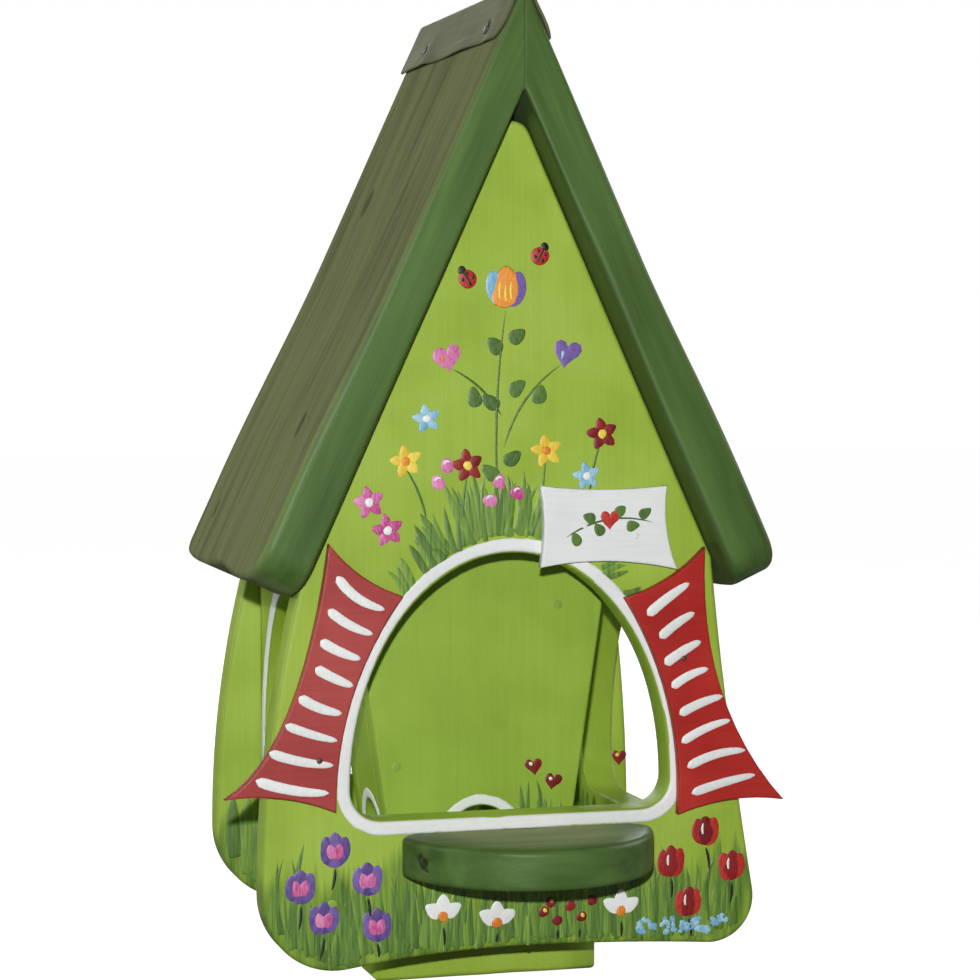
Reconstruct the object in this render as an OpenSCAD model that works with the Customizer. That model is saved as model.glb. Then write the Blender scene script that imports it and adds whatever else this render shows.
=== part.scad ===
// Painted wooden bird feeder in the shape of a steep little house.
// Two bow-sided gable panels carry a steep board roof. A tapered seed silo stands inside on the floor
// board, and birds reach its half-round outlets through an arched opening in each of the four sides.
// Units are millimetres, +Z is up, and the front with the landing board faces -Y.
// The origin is the middle of the base block's underside, where the feeder rests.

/* [Roof] */
// Height of the outer ridge line above the ground
roof_apex_z = 432; // [400:0.5:470]
// Angle between a roof board and the vertical
roof_lean = 24.5; // [23:0.1:26]
// Length of a roof board down its slope
roof_length = 274.7; // [250:0.1:285]
// Thickness of a roof board
roof_t = 18.7; // [14:0.1:22]
// How much a roof board's outer face is bowed out towards its lower edge
roof_flare = 3.4; // [0:0.1:5]
// How far the roof stands out past the front panel
roof_front_overhang = 18; // [8:1:40]
// How far the roof stands out past the back panel
roof_back_overhang = 1; // [0.5:0.5:20]
// Width of the flat planed along the ridge, under the cap's bend
ridge_flat = 3.2; // [2.5:0.1:6]
// Radius of a roof board's lower front corner
roof_front_corner_r = 16; // [4:1:25]
// Radius of a roof board's lower back corner
roof_back_corner_r = 7; // [3:1:20]

/* [Ridge cap] */
// Thickness of the folded sheet
cap_t = 1.2; // [0.8:0.1:2.5]
// Length of each leg of the sheet down the slope
cap_leg = 27; // [18:0.5:40]
// How far the sheet runs out past the roof boards at the back
cap_back_overhang = 2; // [1:0.5:12]
// Inner radius of the sheet's bend over the ridge
cap_bend_r = 1.9; // [1.2:0.1:2.2]
// Radius of the sheet's corners
cap_corner_r = 5; // [1:0.5:9]
// Radius of a roofing nail's head
cap_nail_r = 2.6; // [1.5:0.1:4]
// Height of a roofing nail's head
cap_nail_h = 0.9; // [0.5:0.1:1.5]
// Distance of the nails from the cap's lower edge
cap_nail_edge = 6.5; // [5:0.5:10]

/* [Gable panels] */
// Depth of the house, from the front panel's face to the back panel's face
house_depth = 145; // [135:1:190]
// Thickness of the gable panels
panel_t = 16; // [12:0.5:20]
// Reach of the front panel to the left of the middle
panel_left_w = 109; // [100:0.5:118]
// Height of the front panel's widest place on the left
panel_waist_z = 47.5; // [42:0.5:60]
// Height of the front panel's lowest point on the left
panel_foot_z = 15.5; // [5:0.5:18]
// Height of the front panel's lowest point on the right
panel_right_foot_z = 18; // [8:0.5:20]
// Height at which the front panel's left side meets the roof
panel_eave_z = 188; // [184:1:196]
// Reach of the front panel to the right of the middle
panel_right_w = 110.6; // [100:0.1:118]
// Radius of the front panel's right foot
panel_right_foot_r = 20; // [12:0.5:32]
// Depth of the hollow in the front panel's right side
panel_right_hollow = 1.2; // [0:0.1:4]
// Reach of the back panel to the left of the middle
back_left_w = 105; // [94:0.5:112]
// Reach of the back panel to the right of the middle
back_right_w = 95.5; // [94:0.5:112]
// Height of the back panel's widest place
back_waist_z = 56; // [50:0.5:66]
// Height of the back panel's lowest points
back_foot_z = 22; // [12:0.5:26]
// Height at which the back panel's bowed side meets the roof
back_eave_z = 212; // [190:1:216]
// Rise of both arched bottom edges at the middle, above their lowest points
panel_arch_rise = 6; // [2:0.5:10]
// Radius of the panels' rounded peak
panel_peak_r = 8; // [2:0.5:10]

/* [Arched openings] */
// Width of the front and back openings
door_w = 142; // [120:1:150]
// Height of the sill of the front and back openings
door_sill_z = 79; // [76:0.5:86]
// Height at which the arch starts to curve in
door_spring_z = 92; // [88:0.5:98]
// Height of the top of the arch
door_top_z = 191.5; // [170:0.5:200]
// Width of the side openings, measured along the depth
hatch_w = 106; // [80:1:112]
// Height of the sill of the side openings
hatch_sill_z = 70.5; // [66:0.5:80]
// Height at which the side arch starts to curve in
hatch_spring_z = 90; // [84:0.5:105]
// Height of the top of the side arch
hatch_top_z = 172; // [140:0.5:175]
// Width of a side wall's post behind its opening
hatch_post_w = 8.5; // [6:0.5:20]
// Least width of wood left between a side opening and the front panel; the rest is cut away
hatch_tip = 5; // [3:0.5:10]

/* [Side walls and floor] */
// Distance between the outer faces of the side walls
house_w = 169; // [160:1:175]
// Thickness of the side walls
wall_t = 15; // [10:0.5:18]
// Height of the floor board's upper face
floor_z = 61; // [56:0.5:68]
// Thickness of the floor board
floor_t = 15; // [10:0.5:20]
// Width of the base block
base_w = 101; // [90:1:130]
// Depth of the base block
base_depth = 61; // [50:1:80]

/* [Seed silo] */
// Width of the silo's front board at the floor
silo_foot_w = 82.5; // [70:0.5:90]
// Width of the silo's front board at its upper end
silo_top_w = 131.5; // [110:0.5:132]
// Sideways offset of the silo from the middle
silo_x = -2.5; // [-3:0.5:3]
// Height of the silo's upper end
silo_top_z = 226; // [190:1:230]
// Depth of the silo, over its front and back boards
silo_depth = 61; // [58:1:80]
// Thickness of the silo's boards
silo_t = 12; // [8:0.5:12]
// Radius of the half-round seed outlets
outlet_r = 15.3; // [8:0.1:16]

/* [Landing board] */
// Radius of the half-disc
landing_r = 56; // [40:1:70]
// Radius of the half-disc's two back corners
landing_corner_r = 8; // [2:0.5:14]
// Thickness of the landing board
landing_t = 17; // [10:0.5:20]
// Height of its upper face
landing_z = 72.8; // [70:0.1:76]
// Sideways offset of the half-disc from the middle
landing_x = 4.7; // [-5:0.1:5]

/* [Shutters] */
// Widths of the left and right shutters' upper edges
shutter_top_w = [38, 41]; // [30:0.5:44]
// Widths of the left and right shutters' lower edges
shutter_bottom_w = [47, 48.5]; // [40:0.5:52]
// Heights of the left and right shutters between the middles of their two ends
shutter_h = [105, 108]; // [90:0.5:112]
// Depths of the hollows in the left and right shutters' outer sides
shutter_hollow = [11.5, 12.3]; // [6:0.1:14]
// Share of the height at which the left and right hollows are deepest
shutter_hollow_at = [0.38, 0.48]; // [0.3:0.01:0.6]
// Rise of each end's outer corner over its inner corner
shutter_flare = 5; // [2:0.5:7]
// Depth of the hollow in a shutter's upper edge
shutter_top_hollow = 3; // [1:0.1:4]
// Thickness of the shutters and of the name board
trim_t = 4.5; // [3:0.5:8]
// Lean of the left shutter
left_lean = 20.6; // [15:0.1:24]
// Lean of the right shutter
right_lean = 16.6; // [15:0.1:24]
// Middle of the left shutter, sideways and up
left_place = [-83.6, 136.6];
// Middle of the right shutter, sideways and up
right_place = [83, 130.2];

/* [Name board] */
// Width of the name board's upper edge
sign_top_w = 57.2; // [45:0.1:62]
// Width of the name board's lower edge
sign_bottom_w = 62; // [50:0.5:66]
// Height of the name board
sign_h = 36; // [28:0.5:40]
// Middle of the name board, sideways and up
sign_place = [39.7, 202.1];

/* [Hidden] */

// paint-thick joint between two pieces that rest on each other along a slope
joint_gap = 0.2;
// smooth curves are drawn with this many steps
steps = 24;
far = 400;
panel_color = "#9cb84c";
wall_color = "#84a33f";
roof_color = "#5c6b46";
trim_color = "#a93a36";
white_color = "#e6e9e6";
metal_color = "#8b8d8a";
landing_color = "#59743b";

// The silo and the base block stand in the middle of the house's depth, at y = 0.
front_y = -house_depth / 2;
back_y = house_depth / 2;
inner_front_y = front_y + panel_t;
inner_back_y = back_y - panel_t;
// The side openings start just in front of the walls' front edges, so that they run up to the panel.
hatch_y = inner_back_y - hatch_post_w - hatch_w / 2;
roof_front_y = front_y - roof_front_overhang;
roof_back_y = back_y + roof_back_overhang;
cap_back_y = roof_back_y + cap_back_overhang;
roof_slope = tan(roof_lean);
roof_under_z = roof_apex_z - roof_t / sin(roof_lean);

// height just below the roof boards at a distance x from the middle
function under_roof(x) = roof_under_z - joint_gap / sin(roof_lean) - abs(x) / roof_slope;

// distance from the middle just inside the roof boards at height z
function inside_roof(z) = (under_roof(0) - z) * roof_slope;

// points on a circle's arc from angle a to angle b
function arc(centre, r, a, b, n = steps) =
    [for (i = [0:n]) centre + r * [cos(a + (b - a) * i / n), sin(a + (b - a) * i / n)]];

// points on a half ellipse, from its right end over the top to its left end
function arch(half_w, rise, z) =
    [for (i = [0:2 * steps]) [half_w * cos(90 * i / steps), z + rise * sin(90 * i / steps)]];

// points on a shallow bowed edge from p to q, bowed to the left of that way by dip,
// deepest at the share at of its length; the last point is left to the next edge
function bowed(p, q, dip, at = 0.5, n = 12) =
    let (side = [p[1] - q[1], q[0] - p[0]] / norm(q - p),
        mid = p + (q - p) * (2 * at - 0.5) + 2 * dip * side)
    [for (i = [0:n - 1]) let (t = i / n) (1 - t) * (1 - t) * p + 2 * t * (1 - t) * mid + t * t * q];

// mirrored copy of a list of points, in the opposite order
function mirrored(points) = [for (i = [len(points) - 1:-1:0]) [-points[i][0], points[i][1]]];

// stands a drawn outline upright, facing the front, from y to y + depth
module upright(y, depth) {
    translate([0, y + depth, 0]) rotate([90, 0, 0]) linear_extrude(depth) children();
}

// stands a drawn outline upright, facing the side, from x to x + depth
module sideways(x, depth) {
    translate([x, 0, 0]) rotate([90, 0, 90]) linear_extrude(depth) children();
}

// One half of a panel's outline, as points from the middle of its arched bottom edge round the
// corner, up the side and along the roof to the peak. The side is bowed out on one arc, or is
// hollow by the depth given and leaves the corner without a kink.
function panel_half(half_w, corner_r, foot_z, eave_z, arch_top_z, hollow = 0) =
    let (waist_z = foot_z + corner_r,
        corner = [half_w - corner_r, waist_z],
        drop = waist_z - arch_top_z,
        arch_r = (corner[0] * corner[0] + drop * drop - corner_r * corner_r) / (2 * (corner_r - drop)),
        arch_turn = asin(corner[0] / (arch_r + corner_r)),
        eave = [inside_roof(eave_z), eave_z],
        lean_in = half_w - eave[0],
        rise = eave_z - waist_z,
        side_r = (lean_in * lean_in + rise * rise) / (2 * lean_in),
        lean = atan(lean_in / rise) + asin(4 * hollow / rise),
        side = hollow > 0
            ? concat(arc(corner, corner_r, -90 - arch_turn, lean),
                bowed(corner + corner_r * [cos(lean), sin(lean)], eave, hollow), [eave])
            : concat(arc(corner, corner_r, -90 - arch_turn, 0),
                arc([half_w - side_r, waist_z], side_r, 0, asin(rise / side_r))),
        peak = [0, under_roof(0) - panel_peak_r / sin(roof_lean)])
    concat(
        arc([0, arch_top_z - arch_r], arch_r, 90, 90 - arch_turn),
        side,
        arc(peak, panel_peak_r, roof_lean, 90, 8));

// An opening with a flat sill, round lower corners and a half-ellipse arch.
module opening_outline(w, sill_z, spring_z, top_z) {
    r = spring_z - sill_z;
    polygon(concat(
        arch(w / 2, top_z - spring_z, spring_z),
        arc([r - w / 2, spring_z], r, 180, 270, 10),
        arc([w / 2 - r, spring_z], r, 270, 360, 10)));
}

// A wide panel is cut back around the roof boards' lower edges.
module gable_panel(y, right_half, left_half) {
    difference() {
        upright(y, panel_t) polygon(concat(right_half, mirrored(left_half)));
        upright(y - 1, panel_t + 2) opening_outline(door_w, door_sill_z, door_spring_z, door_top_z);
        for (side = [0, 1])
            mirror([side, 0, 0]) sloped_sheet(roof_length + joint_gap / 2, roof_t + roof_flare + joint_gap,
                -roof_t - joint_gap / 2, y - far / 8, y + far / 8, joint_gap, joint_gap);
    }
}

module front_panel() {
    arch_top_z = panel_foot_z + panel_arch_rise;
    color(panel_color) gable_panel(front_y,
        panel_half(panel_right_w, panel_right_foot_r, panel_right_foot_z, panel_eave_z, arch_top_z,
            panel_right_hollow),
        panel_half(panel_left_w, panel_waist_z - panel_foot_z, panel_foot_z, panel_eave_z, arch_top_z));
}

module back_panel() {
    arch_top_z = back_foot_z + panel_arch_rise;
    corner_r = back_waist_z - back_foot_z;
    color(panel_color) gable_panel(inner_back_y,
        panel_half(back_right_w, corner_r, back_foot_z, back_eave_z, arch_top_z),
        panel_half(back_left_w, corner_r, back_foot_z, back_eave_z, arch_top_z));
}

// A side wall stands between the panels, with its upper edge planed to the roof's slope. Where the
// arch comes near the front panel, the thin tip of wood between them is cut off level.
module side_wall() {
    inner_x = house_w / 2 - wall_t;
    outer_x = house_w / 2;
    floor_under_z = floor_z - floor_t;
    tip_y = inner_front_y + hatch_tip;
    tip_run = hatch_y - tip_y;
    tip_rise = sqrt(max(0, 1 - pow(tip_run / (hatch_w / 2), 2)));
    tip_z = hatch_spring_z + (hatch_top_z - hatch_spring_z) * tip_rise;
    color(wall_color) difference() {
        upright(inner_front_y, inner_back_y - inner_front_y) polygon([
            [inner_x, floor_under_z],
            [outer_x, floor_under_z],
            [outer_x, under_roof(outer_x)],
            [inner_x, under_roof(inner_x)]]);
        sideways(inner_x - 1, wall_t + 2) translate([hatch_y, 0])
            opening_outline(hatch_w, hatch_sill_z, hatch_spring_z, hatch_top_z);
        if (tip_run < hatch_w / 2)
            sideways(inner_x - 1, wall_t + 2) polygon([
                [inner_front_y - 1, hatch_sill_z],
                [tip_y, hatch_sill_z],
                [tip_y, tip_z],
                [inner_front_y - 1, tip_z]]);
    }
}

module right_wall() {
    side_wall();
}

module left_wall() {
    mirror([1, 0, 0]) side_wall();
}

module floor_board() {
    inner_w = house_w - 2 * wall_t;
    color(wall_color) translate([-inner_w / 2, inner_front_y, floor_z - floor_t])
        cube([inner_w, inner_back_y - inner_front_y, floor_t]);
}

module base_block() {
    color(panel_color) translate([-base_w / 2, -base_depth / 2, 0])
        cube([base_w, base_depth, floor_z - floor_t]);
}

// The silo widens upwards; its front and back boards cover the ends of its leaning side boards.
module silo_face(y) {
    color(wall_color) translate([silo_x, 0, 0]) difference() {
        upright(y, silo_t) polygon([
            [-silo_foot_w / 2, floor_z],
            [silo_foot_w / 2, floor_z],
            [silo_top_w / 2, silo_top_z],
            [-silo_top_w / 2, silo_top_z]]);
        translate([0, y - 1, floor_z]) rotate([-90, 0, 0]) cylinder(r = outlet_r, h = silo_t + 2, $fn = 48);
    }
}

module silo_front() {
    silo_face(-silo_depth / 2);
}

module silo_back() {
    silo_face(silo_depth / 2 - silo_t);
}

module silo_side() {
    lean = (silo_top_w - silo_foot_w) / 2 / (silo_top_z - floor_z);
    level_t = silo_t * sqrt(1 + lean * lean);
    inner_depth = silo_depth - 2 * silo_t;
    color(wall_color) difference() {
        upright(-inner_depth / 2, inner_depth) polygon([
            [silo_foot_w / 2 - level_t, floor_z],
            [silo_foot_w / 2, floor_z],
            [silo_top_w / 2, silo_top_z],
            [silo_top_w / 2 - level_t, silo_top_z]]);
        translate([0, 0, floor_z]) rotate([0, 90, 0]) cylinder(r = outlet_r, h = silo_top_w, $fn = 48);
    }
}

module silo_right() {
    translate([silo_x, 0, 0]) silo_side();
}

module silo_left() {
    translate([silo_x, 0, 0]) mirror([1, 0, 0]) silo_side();
}

// A board or sheet lying on the right-hand slope, from the ridge down to its rounded lower corners,
// raised over the roof's outer face by lift; it is mitred in the middle plane.
module sloped_sheet(length, t, lift, y0, y1, r0, r1) {
    outline = concat(
        [[-far / 4, y1], [-far / 4, y0]],
        arc([length - r0, y0 + r0], r0, -90, 0, 8),
        arc([length - r1, y1 - r1], r1, 0, 90, 8));
    difference() {
        translate([0, 0, roof_apex_z]) rotate([0, 90 - roof_lean, 0]) translate([0, 0, lift])
            linear_extrude(t) polygon(outline);
        translate([-far, -far, 0]) cube([far, 2 * far, 2 * far]);
    }
}

// A roof board's outer face is flat down to the middle of the slope; below it the face swells out
// along half a cosine wave, and is flat again near the lower edge.
module roof_board() {
    planed_z = roof_apex_z - ridge_flat / 2 / roof_slope;
    swell_start = 0.45 * roof_length;
    swell_end = 0.85 * roof_length;
    profile = concat(
        [[-far / 4, -roof_t - 1], [-far / 4, 0]],
        [for (i = [0:steps / 2]) let (turn = i * 360 / steps)
            [swell_start + (swell_end - swell_start) * turn / 180, roof_flare * (1 - cos(turn)) / 2]],
        [[far, roof_flare], [far, -roof_t - 1]]);
    color(roof_color) difference() {
        intersection() {
            sloped_sheet(roof_length, roof_t + roof_flare, -roof_t, roof_front_y, roof_back_y,
                roof_front_corner_r, roof_back_corner_r);
            translate([0, far / 2, roof_apex_z]) rotate([0, 90 - roof_lean, 0]) rotate([90, 0, 0])
                linear_extrude(far) polygon(profile);
        }
        translate([-1, -far / 2, planed_z]) cube([far / 4, far, far / 4]);
    }
}

module right_roof() {
    roof_board();
}

module left_roof() {
    mirror([1, 0, 0]) roof_board();
}

// One leg of the folded sheet; its upper end stops where the bend begins.
module cap_leg_sheet() {
    bend_start = (cap_bend_r - joint_gap) / roof_slope;
    difference() {
        sloped_sheet(cap_leg, cap_t, joint_gap, roof_front_y, cap_back_y, cap_corner_r, cap_corner_r);
        translate([0, 0, roof_apex_z]) rotate([0, 90 - roof_lean, 0])
            translate([-far, -far / 2, -far / 2]) cube([far + bend_start, far, far]);
    }
}

module ridge_cap() {
    bend_z = roof_apex_z - (cap_bend_r - joint_gap) / sin(roof_lean);
    bend = concat(
        arc([0, bend_z], cap_bend_r + cap_t, roof_lean, 180 - roof_lean, 16),
        arc([0, bend_z], cap_bend_r, 180 - roof_lean, roof_lean, 16));
    color(roof_color) union() {
        upright(roof_front_y, cap_back_y - roof_front_y) polygon(bend);
        cap_leg_sheet();
        mirror([1, 0, 0]) cap_leg_sheet();
    }
}

// The nail heads stand on the cap's two legs, over each end of the house.
module cap_nails() {
    color(metal_color)
        for (side = [0, 1])
            for (y = [roof_front_y + 24, roof_back_y - 34])
                mirror([side, 0, 0]) translate([0, y, roof_apex_z]) rotate([0, 90 - roof_lean, 0])
                    translate([cap_leg - cap_nail_edge, 0, cap_t + 2 * joint_gap])
                        cylinder(r = cap_nail_r, h = cap_nail_h, $fn = 24);
}

// A half-disc with its straight side against the front panel and its two back corners rounded.
module landing_board() {
    r = landing_corner_r;
    corner = [sqrt(pow(landing_r - r, 2) - r * r), -r];
    turn = asin(r / (landing_r - r));
    half = concat(
        [[0, 0]],
        arc(corner, r, 90, -turn, 10),
        arc([0, 0], landing_r, -turn, -90, 36));
    color(landing_color) translate([landing_x, front_y, landing_z - landing_t]) linear_extrude(landing_t)
        polygon(concat(half, mirrored([for (i = [1:len(half) - 2]) half[i]])));
}

// A shutter's outline: hollow on all four sides, with its outer corners drawn out.
module shutter_outline(which) {
    top = shutter_top_w[which] / 2;
    bottom = shutter_bottom_w[which] / 2;
    half_h = shutter_h[which] / 2;
    outer_top = [top, half_h + shutter_flare];
    inner_top = [-top, half_h - shutter_flare];
    inner_bottom = [-bottom, shutter_flare - half_h];
    outer_bottom = [bottom, -half_h - shutter_flare];
    polygon(concat(
        bowed(outer_top, inner_top, shutter_top_hollow),
        bowed(inner_top, inner_bottom, 8),
        bowed(inner_bottom, outer_bottom, 3.2),
        bowed(outer_bottom, outer_top, shutter_hollow[which], shutter_hollow_at[which])));
}

module right_shutter() {
    color(trim_color) upright(front_y - trim_t, trim_t)
        translate(right_place) rotate(right_lean) shutter_outline(1);
}

module left_shutter() {
    color(trim_color) upright(front_y - trim_t, trim_t)
        translate(left_place) rotate(-left_lean) mirror([1, 0]) shutter_outline(0);
}

// small nail heads on the face of a trim board
module trim_nail(place) {
    nail_r = 1.3;
    nail_h = 0.4;
    translate([place[0], front_y - trim_t, place[1]]) rotate([90, 0, 0])
        cylinder(r = nail_r, h = nail_h, $fn = 24);
}

module shutter_nails() {
    color(metal_color) {
        trim_nail(left_place + [-2, -30.5]);
        trim_nail(right_place + [-7, 14.2]);
    }
}

module name_board() {
    half_h = sign_h / 2;
    sag = 1;
    color(white_color) upright(front_y - trim_t, trim_t) translate(sign_place) polygon(concat(
        bowed([sign_top_w / 2, half_h - sag / 2], [-sign_top_w / 2, half_h], 1.6),
        bowed([-sign_top_w / 2, half_h], [-sign_top_w / 2, sag - half_h], 1.6),
        bowed([-sign_top_w / 2, sag - half_h], [sign_bottom_w - sign_top_w / 2, -half_h - sag], 3.2),
        bowed([sign_bottom_w - sign_top_w / 2, -half_h - sag], [sign_top_w / 2, half_h - sag / 2], 2.6)));
}

module name_board_nails() {
    color(metal_color) {
        trim_nail(sign_place + [-9, 0.9]);
        trim_nail(sign_place + [14.3, -3.9]);
    }
}

front_panel();
back_panel();
left_wall();
right_wall();
floor_board();
base_block();
silo_front();
silo_back();
silo_left();
silo_right();
left_roof();
right_roof();
ridge_cap();
cap_nails();
landing_board();
left_shutter();
right_shutter();
shutter_nails();
name_board();
name_board_nails();
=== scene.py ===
import math

import bmesh
import bpy
import numpy as np
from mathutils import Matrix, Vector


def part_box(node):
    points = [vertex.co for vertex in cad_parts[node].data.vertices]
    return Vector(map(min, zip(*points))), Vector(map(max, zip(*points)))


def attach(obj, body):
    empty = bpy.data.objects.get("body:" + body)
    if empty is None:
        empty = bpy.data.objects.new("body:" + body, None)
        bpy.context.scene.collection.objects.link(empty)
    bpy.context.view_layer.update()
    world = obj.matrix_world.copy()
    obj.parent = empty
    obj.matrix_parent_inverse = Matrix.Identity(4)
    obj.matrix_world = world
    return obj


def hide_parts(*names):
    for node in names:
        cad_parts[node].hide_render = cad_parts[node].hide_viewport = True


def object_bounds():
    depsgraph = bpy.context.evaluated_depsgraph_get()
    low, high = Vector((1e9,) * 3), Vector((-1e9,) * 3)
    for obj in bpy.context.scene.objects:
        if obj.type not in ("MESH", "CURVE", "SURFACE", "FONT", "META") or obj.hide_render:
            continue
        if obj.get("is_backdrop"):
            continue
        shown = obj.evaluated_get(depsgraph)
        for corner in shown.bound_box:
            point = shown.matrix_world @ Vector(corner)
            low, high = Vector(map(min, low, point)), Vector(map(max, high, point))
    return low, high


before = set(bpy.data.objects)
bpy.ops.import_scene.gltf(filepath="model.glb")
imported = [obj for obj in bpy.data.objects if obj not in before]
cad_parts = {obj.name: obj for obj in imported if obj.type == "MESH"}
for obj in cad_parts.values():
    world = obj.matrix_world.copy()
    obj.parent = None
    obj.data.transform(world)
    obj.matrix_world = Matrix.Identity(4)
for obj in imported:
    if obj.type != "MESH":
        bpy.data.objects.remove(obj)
cad_low, cad_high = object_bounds()

# ---- Base block ----
# A sawn block of pine under the floor board, screwed up into it. The feeder rests on it, or is
# fastened down through it. Its edges are eased with sandpaper and it is brushed with lime acrylic.

MM = 0.001  # the numbers below are millimetres
LEFT, RIGHT = np.array([-1.0, 0, 0]), np.array([1.0, 0, 0])
FRONT, BACK = np.array([0, -1.0, 0]), np.array([0, 1.0, 0])
DOWN, UP = np.array([0, 0, -1.0]), np.array([0, 0, 1.0])
board_arris = 1.4
block_arris = 2.2
arris_steps = 5
lime_coats = ("#90AE36", "#99B63E", "#A0BC48")
# The darker olive for the panels' rounded edges: partly a thinner coat, partly painted shade.
lime_worn_and_painted_light = "#75833F"


def corners(node):
    """A CAD node's lowest and highest corner."""
    low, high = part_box(node)
    return np.array(low) / MM, np.array(high) / MM


def spots_of(node):
    """All corners of a CAD node's triangles, and the triangles as rows of three numbers."""
    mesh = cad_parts[node].data
    spots = np.empty(len(mesh.vertices) * 3, np.float32)
    mesh.vertices.foreach_get("co", spots)
    corner = np.empty(len(mesh.polygons) * 3, np.int32)
    mesh.polygons.foreach_get("vertices", corner)
    spots, same = np.unique(np.round(spots.reshape(-1, 3) / MM, 2), axis=0, return_inverse=True)
    return spots, same.ravel()[corner].reshape(-1, 3)


def face_loops(node, facing):
    """The closed outlines of a CAD board's outermost face towards facing, the longest first: the
    edges that only one triangle has in that plane, walked end to end."""
    spots, triangles = spots_of(node)
    height = spots @ facing
    flat = triangles[(height[triangles] > height.max() - 0.05).all(axis=1)]
    ways = np.concatenate([flat[:, [0, 1]], flat[:, [1, 2]], flat[:, [2, 0]]])
    used = {tuple(way) for way in ways.tolist()}
    follows = {a: b for a, b in used if (b, a) not in used}
    loops = []
    while follows:
        first, here = follows.popitem()
        walk = [first]
        while here != first:
            walk.append(here)
            here = follows.pop(here)
        loops.append(spots[walk].astype(float))
    return sorted(loops, key=lambda loop: -np.ptp(loop, axis=0).sum())


def refined(loop, step, clear=0.0):
    """A closed outline with its own corners kept and each edge cut into equal parts under step. Points
    nearer than clear to a sharp corner are left out, so that an outline moved inwards has no loops."""
    way = np.roll(loop, -1, axis=0) - loop
    length = np.linalg.norm(way, axis=1, keepdims=True)
    parts = np.ceil(length[:, 0] / step).astype(int)
    edge = np.repeat(np.arange(len(loop)), parts)
    share = (np.arange(len(edge)) - np.repeat(np.cumsum(parts) - parts, parts)) / parts[edge]
    points = loop[edge] + share[:, None] * way[edge]
    turn = (way / length * np.roll(way / length, 1, axis=0)).sum(axis=1)
    sharp = loop[turn < math.cos(math.radians(30))]
    if not len(sharp):
        return points
    reach = np.linalg.norm(points[:, None] - sharp, axis=2).min(axis=1)
    return points[(reach < 0.001) | (reach > clear)]


def onto_face(loop, facing):
    """For each point of an outline, the way onto the board's face, square to the outline, and
    longer at corners by one over the cosine of half the turn, so that a moved outline is parallel."""
    edge = np.roll(loop, -1, axis=0) - loop
    edge /= np.linalg.norm(edge, axis=1, keepdims=True)
    side = np.cross(facing, edge)
    before = np.roll(side, 1, axis=0)
    return (side + before) / (1 + (side * before).sum(axis=1, keepdims=True)).clip(0.5)


def wander(share, waves, seed):
    """A smooth uneven line from -1 to 1 round a closed path: a sum of sines with falling heights."""
    rng = np.random.default_rng(seed)
    count = np.arange(1, waves + 1)
    height = 1 / np.sqrt(count)
    lag = rng.uniform(0, 2 * np.pi, waves)
    wave = np.sin(2 * np.pi * count * share[:, None] + lag) * height
    return wave.sum(axis=1) / height.sum() * 2


def eased_rings(front, back, facing, arris, side_rows=1):
    """Rings round a board's edge from its front outline to its back outline. A ring at the angle a
    of each quarter-round arris r lies r (1 - sin a) in from the edge and r (1 - cos a) deep. A ring
    just inside each face keeps the face flat. Returns rings, and sin 2a for each: how far the arris
    is darkened, for worn paint and as painted shade."""
    arris = np.broadcast_to(arris, len(front))
    thick = np.linalg.norm(back - front, axis=1)
    angle = np.linspace(0, np.pi / 2, arris_steps)
    inset = np.concatenate([[1.6], 1 - np.sin(angle)])[:, None] * arris
    sunk = np.concatenate([[0], 1 - np.cos(angle)])[:, None] * arris / thick
    between = np.linspace(0, 1, side_rows + 1)[1:-1, None]
    side = sunk[-1] + between * (1 - 2 * sunk[-1])
    sunk = np.concatenate([sunk, side, 1 - sunk[::-1]])
    inset = np.concatenate([inset, np.zeros_like(side), inset[::-1]])
    way = onto_face(front, facing)
    rings = front + sunk[..., None] * (back - front) + inset[..., None] * way
    round_edge = np.concatenate([[0], np.sin(2 * angle)])
    round_edge = np.concatenate([round_edge, np.zeros(len(side)), round_edge[::-1]])
    return rings, round_edge


def grid_faces(rows, columns, closed_rows=False, closed_columns=True, first=0):
    """Four-sided faces between neighbours on a grid of points stored row by row."""
    row = np.arange(rows if closed_rows else rows - 1)[:, None]
    column = np.arange(columns if closed_columns else columns - 1)[None, :]
    row, column = np.broadcast_arrays(row, column)
    next_row, next_column = (row + 1) % rows, (column + 1) % columns
    at = [row * columns + column, row * columns + next_column,
          next_row * columns + next_column, next_row * columns + column]
    return (np.stack(at, axis=-1).reshape(-1, 4) + first).tolist()


def piece(name, points, faces, paints, slot, hides=(), kinds=None, **marks):
    """One piece of the feeder: a smooth mesh whose faces are turned outwards, with its paints and
    its point marks, which rides on the frame's one body and stands for the CAD nodes it hides."""
    mesh = bpy.data.meshes.new(name)
    mesh.from_pydata((np.asarray(points).reshape(-1, 3) * MM).tolist(), [], faces)
    for paint in paints:
        mesh.materials.append(paint)
    if kinds is not None:
        mesh.polygons.foreach_set("material_index", np.asarray(kinds, np.int32))
    for mark, values in marks.items():
        layer = mesh.attributes.new(mark, "FLOAT", "POINT")
        layer.data.foreach_set("value", np.asarray(values, np.float32).ravel())
    shape = bmesh.new()
    shape.from_mesh(mesh)
    bmesh.ops.remove_doubles(shape, verts=shape.verts, dist=0.002 * MM)
    bmesh.ops.recalc_face_normals(shape, faces=shape.faces)
    shape.to_mesh(mesh)
    shape.free()
    mesh.polygons.foreach_set("use_smooth", np.ones(len(mesh.polygons), bool))
    obj = bpy.data.objects.new(name, mesh)
    bpy.context.scene.collection.objects.link(obj)
    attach(obj, "root")
    if hides:
        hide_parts(*hides)
    return obj


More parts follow.
